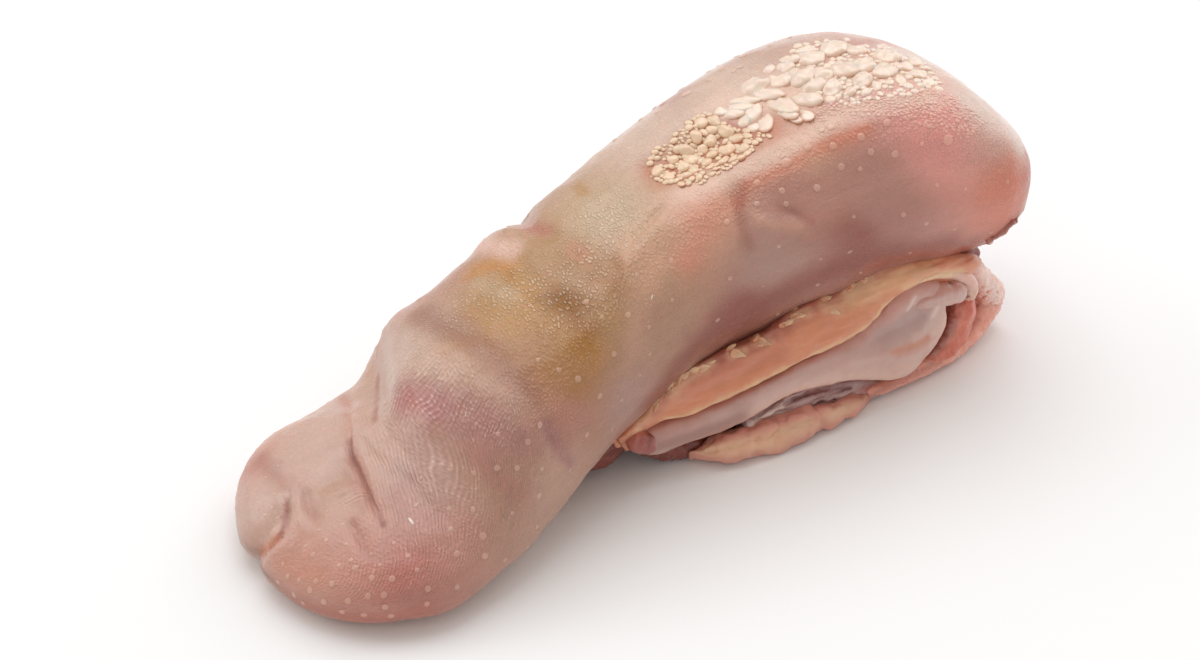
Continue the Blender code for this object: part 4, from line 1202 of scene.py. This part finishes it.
# Strokes of colour on the trimmings, among them painted shade and painted glints: path in pixels, width in
# mm, tone, strength
marks = {
    "strip": [
        # Painted shade under the blade's edge, over the dark red of the membrane's top
        ([(640, 410), (655, 394), (704, 360), (763, 332), (806, 302), (862, 273), (895, 258)], 1.4,
            "foldRed", 0.7),
        ([(690, 388), (740, 368), (780, 350)], 1.8, "fleshRed", 0.35),
        ([(640, 430), (668, 400)], 1.0, "fatPink", 0.5),
        ([(850, 300), (890, 282), (930, 268)], 1.7, "membraneRim", 0.5),
        ([(662, 425), (697, 411), (735, 394), (773, 375), (811, 356), (850, 337), (875, 319), (893, 299)],
            0.55, "membraneRim", 0.85),
        ([(905, 288), (940, 274), (962, 272)], 0.7, "membraneRim", 0.7),
        ([(630, 441), (640, 425), (654, 402)], 0.7, "flakePale", 0.7),
        ([(672, 396), (684, 383), (712, 364)], 0.8, "flakePale", 0.55),
        ([(732, 354), (744, 350)], 1.0, "flakePale", 0.5),
        ([(758, 344), (768, 341)], 0.9, "flakePale", 0.5),
        ([(794, 317), (808, 313)], 0.9, "flakePale", 0.55),
        ([(824, 306), (838, 310)], 1.1, "flakePale", 0.5),
        ([(850, 289), (866, 280)], 1.3, "membraneRim", 0.5),
    ],
    "flap": [
        # Painted shade under the strip's rim, along the flap's top
        ([(697, 414), (735, 398), (773, 379), (811, 360), (850, 341), (878, 322)], 0.45, "flapRose", 0.7),
        ([(884, 336), (904, 326), (922, 315)], 2.3, "flapBlue", 0.65),
        ([(893, 353), (912, 346), (928, 337)], 0.6, "warmOrange", 0.7),
        ([(900, 356), (922, 348), (934, 338)], 0.7, "fleshRed", 0.35),
        ([(930, 300), (946, 288), (958, 284)], 0.9, "fleshRed", 0.40),
        ([(655, 447), (700, 434), (740, 418)], 1.8, "flapShade", 0.8),
        # The white marks here are painted glints near the flap's right end
        ([(665, 434), (700, 420)], 1.0, "flapRose", 0.45), ([(915, 298), (908, 310)], 0.5, "glintWhite", 0.5),
        ([(940, 296), (938, 306), (933, 316)], 0.6, "glintWhite", 0.5),
    ],
    "fat": [
        ([(712, 450), (745, 446), (778, 437)], 1.4, "flakePale", 0.5),
        ([(716, 441), (748, 430), (790, 416), (830, 404)], 0.55, "fleshRed", 0.5),
        ([(812, 410), (826, 425)], 0.9, "fatPink", 0.7), ([(850, 398), (872, 400)], 1.2, "fleshRed", 0.5),
    ],
    "muscle": [
        # The white marks are painted glints on the wet muscle
        ([(750, 426), (768, 414), (782, 408)], 0.5, "glintWhite", 0.7),
        ([(795, 400), (822, 391), (850, 388)], 0.4, "darkRed", 0.7),
        ([(800, 412), (836, 402), (856, 396)], 0.5, "glintWhite", 0.35),
        ([(806, 392), (850, 382), (880, 380)], 0.4, "muscleDark", 0.6),
        ([(862, 392), (900, 378)], 0.9, "fleshRed", 0.6),
    ],
    "lip_knob": [
        ([(649, 430), (650, 438), (649, 446)], 0.4, "darkRed", 0.95),
        ([(656, 438), (657, 448)], 0.4, "flapPink", 0.7),
    ],
    "rim": [
        ([(905, 287), (922, 278), (950, 269)], 1.6, "membraneRim", 0.9),
    ],
    "recess": [
        ([(950, 300), (948, 318), (942, 334), (930, 350)], 1.3, "darkRed", 0.8),
        ([(964, 312), (958, 328), (948, 342)], 0.5, "wetPink", 0.6),
        ([(956, 322), (946, 340), (934, 354)], 0.4, "flapPink", 0.4),
    ],
    "rim_knob": [
        # A black dot as painted shade in a small hole, and painted shade in red beside it
        ([(950, 283), (952, 284)], 0.30, "black", 1.0), ([(953, 285), (957, 284)], 0.5, "fleshRed", 0.6),
    ],
    "root_roll": [
        ([(968, 300), (966, 318), (952, 340)], 0.8, "foldRed", 0.6),
        ([(978, 320), (966, 336), (950, 350)], 0.4, "fleshRed", 0.5),
        # A painted highlight on the wet top of the root roll
        ([(983, 270), (989, 284), (998, 296)], 2.2, "glintWhite", 0.75),
        ([(940, 362), (904, 380), (866, 398)], 0.7, "foldRed", 0.5),
    ],
}


# Sizes in mm of the unevenness of the trimmings, how far fibres are drawn out, and how softly they rest
relief = {
    "ripple": 1.4, "fibre": 0.9, "bandFibre": (5.0, 1.0, 1.0), "coreFibre": (6, 1, 1), "roll": 2.2,
    "rollFine": 0.9, "fineShare": 0.5, "scrap": 0.9, "softness": 0.8, "coreSoftness": 1.2,
}


def addMarks(piece, kind, far, tree):
    points = pointsOf(piece)
    colour, bare = np.zeros((len(points), 3)), np.ones(len(points))
    for seed, (path, width, name, strength) in enumerate(marks.get(kind, [])):
        stroke = strokeOn(path, tree)
        cover = nearness(points, mirrored(stroke) if far else stroke, width, 60 + seed) * strength
        colour = colour * (1 - cover)[:, None] + tones[name] * cover[:, None]
        bare *= 1 - cover
    setAttribute(piece, "mark", colour, "FLOAT_COLOR")
    setAttribute(piece, "bare", bare)


def setPlaces(piece, down):  # how far down the piece each point lies, and its place in mm
    setAttribute(piece, "down", down)
    setAttribute(piece, "mm", pointsOf(piece), "FLOAT_VECTOR")


def pressDents(points, normals, dents, far, tree):
    for path, depth, width in dents:
        stroke = strokeOn(path, tree)
        gap = pathDistance(points, mirrored(stroke) if far else stroke)[0] / width
        points = points - normals * (depth * np.exp(-(gap**2)))[:, None]
    return points


nearTrees = {"skin": skinTree}  # what the strokes and scraps are laid on


def roughen(piece, uneven, softness):  # moves points along their normals, and rests them on the floor
    movePoints(piece, restOnFloor(pointsOf(piece) + normalsOf(piece) * uneven[:, None], softness))


def dressed(piece, kind, far, around, along):  # a near piece's tree also serves its far one
    if not far:
        nearTrees[kind] = treeOf(piece)
    setPlaces(piece, (1 - np.cos(turnsOf(around, along))) / 2)
    addMarks(piece, kind, far, nearTrees[kind])
    return piece


def bandPiece(kind, far):
    band = bands[kind]
    name, sections = kind + ("_far" if far else "_near"), bandSections(band, far)
    piece = roundForm(name, band["around"], band["along"], sections)
    if not far:
        nearTrees[kind] = treeOf(piece)
    movePoints(piece, pressDents(pointsOf(piece), normalsOf(piece), band["dents"], far, nearTrees[kind]))
    points = pointsOf(piece)
    seed = 31 + 7 * far + len(kind)
    uneven = band["lump"] * lumps(points, band["lumpSize"], seed)
    uneven += band["ripple"] * lumps(points, relief["ripple"], seed + 1)
    if band["fibre"]:
        uneven += band["fibre"] * fibres(points, relief["fibre"], relief["bandFibre"], seed + 2)
    roughen(piece, uneven, relief["softness"])
    return dressed(piece, kind, far, band["around"], band["along"])


# Round pieces: the core of muscle under the blade and the flap of muscle at the root
sweeps = {
    "root_core": {
        "around": 160, "along": 300, "end": 0.07, "lump": 0.6, "lumpSize": 7.0, "fibre": 0.35,
        "rows": [(-26, 2, 3.2, 8, 2.6), (-12, 2, 4.4, 10, 4.8), (6, 2, 8.6, 12, 9.2), (20, 2, 11, 14.5, 12),
            (36, 1, 12.5, 16, 13.5), (50, -1, 13.5, 15.5, 14.5), (60, -1.8, 16, 15.6, 13.5),
            (68.6, -3.6, 17.6, 13.4, 11)],
    },
    "root_flap": {
        "around": 120, "along": 260, "end": 0.12, "lump": 0.55, "lumpSize": 3.5, "fibre": 0.3,
        "rows": [(36, -12, 4.5, 6, 5), (48, -12.5, 5.5, 6.0, 6), (58, -13, 6.5, 5.2, 6.4),
            (66, -13, 7, 4.0, 5.0), (70.5, -13.5, 7, 3.0, 3.4)],
    },
}


def sweepPiece(name):
    form = sweeps[name]
    rows = np.array(form["rows"], float)

    def place(share, turn):
        x = rows[0, 0] + share * (rows[-1, 0] - rows[0, 0])
        row = alongTable(rows, x)
        size = endShrink(share, form["end"]) * endShrink(1 - share, form["end"])
        y = row[:, 1] + row[:, 3] * size * np.cos(turn)
        return np.stack([x, y, row[:, 2] + row[:, 4] * size * np.sin(turn)], 1)

    piece = roundForm(name, form["around"], form["along"], place)
    points = pointsOf(piece)
    lumpy = form["lump"] * lumps(points, form["lumpSize"], 51)
    fibrous = form["fibre"] * fibres(points, relief["fibre"], relief["coreFibre"], 52)
    roughen(piece, lumpy + fibrous, relief["coreSoftness"])
    setPlaces(piece, (1 - np.sin(turnsOf(form["around"], form["along"]))) / 2)
    addMarks(piece, name, False, None)
    return piece


# Rolls of tissue along a path of pixels, at a depth y for each x, with a radius in mm at each pixel
rolls = {
    "lip_knob": {
        "path": [(630, 440), (640, 442), (648, 443), (655, 444)], "depth": [(-10, -12.2), (10, -12.2)],
        "radius": [1.4, 1.9, 1.8, 1.3], "look": "knob", "lump": 0.10, "slot": "trimmings",
    },
    "rim": {
        "path": [(905, 287), (922, 279), (940, 273), (955, 273), (966, 279), (972, 289), (969, 299)],
        "depth": [(36, -21.2), (50, -21.4), (60, -21.0)], "radius": [0.2, 0.5, 0.85, 1.1, 1.25, 1.2, 0.9],
        "look": "rim", "lump": 0.08, "slot": "trimmings",
    },
    "rim_knob": {
        "path": [(914, 305), (932, 295), (949, 290), (961, 292)],
        "depth": [(40, -19.4), (48, -20.8), (60, -21.2)], "radius": [1.0, 2.0, 2.4, 1.8], "look": "flap",
        "lump": 0.12, "slot": "trimmings",
    },
    "root_roll": {
        "path": [(966, 257), (974, 270), (982, 284), (987, 298), (978, 316), (965, 336), (948, 352),
            (925, 366), (898, 380), (866, 394)],
        "depth": [(36, -19.0), (45, -19.6), (56, -19.2), (62, -17.8), (67, -16.2), (71, -13.6)],
        "radius": [1.0, 1.7, 2.4, 3.0, 2.5, 1.9, 1.6, 1.5, 1.2, 0.8], "look": "root_roll", "lump": 0.16,
        "slot": "muscle",
    },
    "recess": {
        "path": [(958, 292), (959, 310), (952, 330), (940, 348), (920, 364)],
        "depth": [(48, -18.8), (62, -18.0)], "radius": [2.0, 2.8, 2.8, 2.4, 1.8], "look": "recess",
        "lump": 0.22, "slot": "muscle",
    },
    "root_edge": {
        "path": [(1020, 212), (1012, 226), (1004, 237), (994, 247), (983, 256)], "depth": None,
        "radius": [0.2, 0.5, 0.65, 0.5, 0.3], "look": "edge", "lump": 0.3, "slot": "trimmings",
    },
    # The crevice roll: dark red muscle seen in the gap, darkened as painted shade
    "crevice": {
        "path": [(640, 446), (665, 446), (690, 444), (715, 438), (738, 429)],
        "depth": [(-2, -9.6), (10, -11.4), (20, -13.6)], "radius": [1.6, 2.1, 2.4, 2.2, 1.5],
        "look": "crevice", "lump": 0.3, "slot": "muscle",
    },
}


def rollLine(roll, far):  # laid on the skin where no depth is given
    pixels = smoothCurve(roll["path"], 60)
    if roll["depth"]:
        line = smoothCurve(ontoCurtain(pixels, roll["depth"]), 90)
        return mirrored(line) if far else line
    line = smoothCurve(onSkin(pixels)[0], 90)
    return np.array([skinTree.find_nearest(Vector(spot))[0] for spot in mirrored(line)]) if far else line


def rollPiece(kind, far):
    roll = rolls[kind]
    line = rollLine(roll, far)
    length = np.linalg.norm(np.diff(line, axis=0), axis=1).sum()
    runs = np.gradient(line, axis=0)
    runs /= np.linalg.norm(runs, axis=1)[:, None]
    sides = np.cross(runs, [0, 1.0, 0.3])
    sides /= np.linalg.norm(sides, axis=1)[:, None]

    def place(share, turn):
        spot, run, side = (atShare(part, share) for part in (line, runs, sides))
        radius = np.interp(share, np.linspace(0, 1, len(roll["radius"])), roll["radius"])
        end = roll["radius"][0] / length
        size = (radius * endShrink(share, end) * endShrink(1 - share, end))[:, None]
        return spot + size * (np.cos(turn)[:, None] * side + np.sin(turn)[:, None] * np.cross(run, side))

    around, along = 48, int(length * 4) + 24
    piece = roundForm(kind + ("_far" if far else "_near"), around, along, place)
    points = pointsOf(piece)
    lumpy = lumps(points, relief["roll"], 71) + relief["fineShare"] * lumps(points, relief["rollFine"], 72)
    roughen(piece, roll["lump"] * lumpy, relief["softness"])
    return dressed(piece, kind, far, around, along)


# Torn flakes of membrane on the strip, and white lumps on the root roll that stand for its glints as
# painted highlights: pixel, length, width, angle
scraps = {
    "membrane_flakes": {
        "on": "strip", "tall": 0.14, "tilt": 8, "sink": -0.8, "point": 0.6, "ragged": 0.22, "look": "flake",
        "rows": [(655, 405, 22, 6, -62), (662, 396, 16, 5, -58), (670, 389, 18, 6, -60),
            (677, 381, 20, 6, -52), (684, 377, 18, 7, -42), (693, 371, 17, 6, -34), (703, 369, 20, 8, -24),
            (710, 364, 14, 5, -30), (738, 354, 16, 9, 12), (731, 349, 12, 4, -38), (763, 343, 17, 9, 18),
            (755, 338, 11, 4, -36), (798, 316, 17, 7, -10), (787, 323, 18, 5, -28), (795, 308, 12, 4, -30),
            (833, 311, 15, 7, 22), (826, 299, 14, 5, -18), (852, 286, 14, 7, -14), (864, 280, 12, 6, -25)],
    },
    # White lumps as painted highlights on the root roll
    "wet_lumps": {
        "on": "root_roll", "tall": 0.35, "tilt": 0, "sink": 0.25, "point": 0.0, "ragged": 0.10,
        "look": "lump",
        "rows": [(984, 288, 6, 4, 30), (991, 292, 7, 5, 10), (986, 298, 5, 4, 40), (996, 298, 5, 4, 0),
            (979, 296, 4, 3, 50), (992, 303, 4, 3, 20), (983, 304, 4, 3, 0), (998, 292, 4, 3, 0)],
    },
    "rim_beads": {
        "on": "rim", "tall": 0.8, "tilt": 0, "sink": 0.2, "point": 0.0, "ragged": 0.10, "look": "rim",
        "rows": [(966, 299, 6, 5, 0), (960, 301, 5, 4, 20), (970, 293, 5, 4, 60)],
    },
}


def scrapPiece(kind):
    scrap = scraps[kind]
    pattern = roundPattern(14, 8)
    ball = pointsOf(pattern)
    leaf = ball * np.column_stack([np.ones(len(ball)), 1 - scrap["point"] * ball[:, 0], np.ones(len(ball))])
    leaf[:, 2] += 0.8 * scrap["point"] * ball[:, 0] ** 2
    movePoints(pattern, leaf)
    places = laidOut(scrap["rows"], nearTrees[scrap["on"]], scrap["tall"], scrap["tilt"], scrap["sink"])
    far = [(mirrored(spot[None])[0], axes * np.array([1, -1, 1]), size) for spot, axes, size in places]
    piece = scattered(kind, pattern, places + far)
    bpy.data.objects.remove(pattern)
    points, normals = pointsOf(piece), normalsOf(piece)
    movePoints(piece, points + normals * (scrap["ragged"] * lumps(points, relief["scrap"], 91))[:, None])
    setPlaces(piece, np.tile((1 - ball[:, 0]) / 2, len(places) * 2))
    addMarks(piece, kind, False, None)
    return piece


fleshFinish = {
    "subsurface": 0.15, "subsurfaceDepth": 0.0016, "coatRoughness": 0.2, "softScale": 0.35, "wander": 0.25,
    "blotchFrom": (0.45, 0.75), "fineScale": 2.8, "fineShade": 0.12, "fineRelief": 0.4,
    "fineRoughness": 0.2,
}


def fleshMaterial(name, stops, streak, streakScale, roughness, coat, blotch, bumpDepth, turn=(0, 0, 0)):
    f = fleshFinish
    paint = Paint(name, Subsurface_Weight=f["subsurface"], Subsurface_Radius=bloodReach,
                  Subsurface_Scale=f["subsurfaceDepth"], Coat_Weight=coat,
                  Coat_Roughness=f["coatRoughness"])
    on = paint.attribute("mm", "Vector")
    soft = paint.cloud(on, f["softScale"])
    fibre = paint.cloud(paint.stretched(on, streakScale, turn), 1.0, 3.0, 0.6)
    fine = paint.cloud(on, f["fineScale"], 3.0, 0.6)
    at = paint.attribute("down") + (soft - 0.5) * f["wander"]
    colour = tones[stops[0][1]]
    for (low, _), (high, following) in zip(stops, stops[1:]):
        colour = paint.mix(paint.spread(at, low, high), colour, tones[following])
    colour = paint.mix(paint.spread(soft, *f["blotchFrom"]) * blotch[1], colour, tones[blotch[0]])
    bare = paint.brighten((1, 1, 1), paint.attribute("bare"))
    colour = paint.layered(bare, colour, paint.attribute("mark", "Color"))
    colour = paint.brighten(colour, 1.0 + (fibre - 0.5) * streak + (fine - 0.5) * f["fineShade"])
    normal = paint.bump(fibre * bumpDepth + fine * (bumpDepth * f["fineRelief"]), mm)
    return paint.wear(colour, roughness + (fine - 0.5) * f["fineRoughness"], normal)


fleshLooks = {
    # Tones down the piece, each with the share where it is full, strength and scale of the fibres,
    # roughness, coat, tone and share of the blotches, relief in mm, and for some the turn of the fibres
    # The strip's and the flap's tops are darker: their own red, with painted shade under the blade and
    # under the strip's rim
    "strip": ("membraneOrange", [(0.10, "membraneTop"), (0.48, "membraneOrange")],
              0.16, (0.5, 1.2, 2.0), 0.34, 0.40, ("fatPink", 0.4), 0.10),
    "flap": ("membranePink", [(0.05, "flapRose"), (0.30, "flapPink"), (0.97, "flapRim")],
              0.08, (0.3, 0.8, 0.8), 0.32, 0.4, ("flapRose", 0.30), 0.05),
    "fat": ("fatTan", [(0.1, "fatPink"), (0.4, "fatTan"), (0.95, "fatPink")],
              0.12, (0.8, 1.0, 1.0), 0.38, 0.3, ("fatPink", 0.5), 0.10),
    "muscle": ("muscleGrey", [(0.1, "muscleGrey"), (0.9, "muscleGrey")],
              0.8, (0.35, 2.2, 2.2), 0.32, 0.45, ("muscleRed", 0.35), 0.26, (0, 0.35, 0)),
    "root_core": ("muscleRed", [(0.0, "muscleRed"), (1.0, "muscleDark")],
              0.7, (0.25, 1.8, 1.8), 0.38, 0.3, ("muscleDark", 0.4), 0.30),
    "root_flap": ("muscleWet", [(0.0, "fleshRed"), (0.7, "muscleRed"), (1.0, "muscleDark")],
              0.4, (0.3, 1.4, 1.4), 0.26, 0.6, ("wetPink", 0.4), 0.2),
    "root_roll": ("rollPink", [(0.0, "rollSalmon"), (1.0, "rollSalmon")],
              0.25, (0.5, 1.4, 1.4), 0.26, 0.6, ("wetPink", 0.5), 0.16),
    "recess": ("recessRed", [(0.0, "recessRed"), (1.0, "recessRed")],
              0.5, (1.6, 1.6, 0.4), 0.3, 0.5, ("wetPink", 0.3), 0.25),
    # Dark red muscle darkened as painted shade, for the crevice roll
    "crevice": ("creviceShadeRed", [(0.0, "darkRed"), (1.0, "muscleDark")],
              0.5, (0.4, 1.6, 1.6), 0.3, 0.5, ("muscleRed", 0.4), 0.2),
    "knob": ("knobRose", [(0.0, "cutRed"), (1.0, "cutRed")],
              0.15, (1.0, 1.0, 1.0), 0.3, 0.5, ("wetPink", 0.5), 0.06),
    "rim": ("rimCream", [(0.0, "knobPink"), (1.0, "flapRim")],
              0.12, (1.0, 1.0, 1.0), 0.3, 0.5, ("wetPink", 0.5), 0.06),
    "flake": ("flakeCream", [(0.25, "flakePale"), (0.85, "membraneOrange")],
              0.15, (1.0, 1.0, 1.0), 0.28, 0.5, ("membraneRim", 0.5), 0.06),
    "edge": ("edgeRed", [(0.0, "rosyTan"), (1.0, "brick")],
              0.3, (1.0, 1.0, 1.0), 0.3, 0.5, ("warmOrange", 0.5), 0.1),
    # White, the tone of the painted glints on the root roll's lumps; the skin's white flecks wear it too
    "lump": ("lumpPink", [(0.0, "glintWhite"), (1.0, "wetPink")],
              0.15, (1.0, 1.0, 1.0), 0.2, 0.8, ("glintWhite", 0.5), 0.05),
}
flesh = {kind: fleshMaterial(*look) for kind, look in fleshLooks.items()}
for kind in bands:
    for far in (False, True):
        finish(bandPiece(kind, far), flesh[kind])
for kind in sweeps:
    finish(sweepPiece(kind), flesh[kind])
for kind, roll in rolls.items():
    for far in (False, True):
        finish(rollPiece(kind, far), flesh[roll["look"]])
for kind, scrap in scraps.items():
    finish(scrapPiece(kind), flesh[scrap["look"]])
setPlaces(whiteFlecks, np.zeros(len(whiteFlecks.data.vertices)))
addMarks(whiteFlecks, "fleck", False, None)
finish(whiteFlecks, flesh["lump"])

# The stage: a plain pale floor, a soft key from behind the tongue, a sheen and two soft fills
stage = {
    "floor": 3.0, "floorTones": ((0.91, 0.91, 0.91), (0.93, 0.93, 0.93)), "dustScale": 3.0,
    "floorRoughness": 0.7, "floorShine": 0.2, "worldLight": 0.60,
    "worldTone": (1.0, 0.95, 0.89), "lightTone": (0.965, 1.0, 1.05), "aim": (0.0, 0.0, 0.02),
    # Each light's place in m, size and power
    "lights": {
        "key": ((0.16, 0.33, 0.93), 1.0, 4.6), "sheen": ((-0.48, 0.68, 0.50), 0.6, 1.6),
        "leftFill": ((-0.75, -0.35, 0.50), 0.9, 0.6), "rightFill": ((0.92, 0.06, 0.52), 0.9, 2.7),
    },
}


def areaLight(name, place, size, power):
    alone()
    bpy.ops.object.light_add(type="AREA", location=place)
    lamp = bpy.context.object
    lamp.name = name
    lamp.data.shape, lamp.data.size, lamp.data.energy = "DISK", size, power
    lamp.data.color = stage["lightTone"]
    lamp.rotation_euler = (Vector(place) - Vector(stage["aim"])).to_track_quat("Z", "Y").to_euler()


def makeStage():
    alone()
    bpy.ops.mesh.primitive_plane_add(size=stage["floor"])
    floor = bpy.context.object
    floor.name = "floor"
    paint = Paint("paleFloor", Specular_IOR_Level=stage["floorShine"])
    pale = paint.mix(paint.cloud(paint.place(), stage["dustScale"], 3.0), *stage["floorTones"])
    floor.data.materials.append(paint.wear(pale, stage["floorRoughness"], None))
    for name, row in stage["lights"].items():
        areaLight(name, *row)
    world = bpy.data.worlds.new("softRoom")
    world.use_nodes = True
    backdrop = world.node_tree.nodes["Background"]
    backdrop.inputs["Color"].default_value = (*stage["worldTone"], 1)
    backdrop.inputs["Strength"].default_value = stage["worldLight"]
    bpy.context.scene.world = world
    bpy.context.scene.view_settings.view_transform = "Standard"


def makeCamera():
    alone()
    target = Vector((np.array(photo["target"]) + home) * mm)
    bpy.ops.object.camera_add(location=target + Vector(back) * photo["distance"] * mm)
    camera = bpy.context.object
    camera.rotation_euler = Vector(back).to_track_quat("Z", "Y").to_euler()
    camera.data.lens, camera.data.sensor_width = photo["lens"], photo["sensor"]
    bpy.context.scene.camera = camera


makeStage()
makeCamera()
print("tongue: floor, lights and camera")
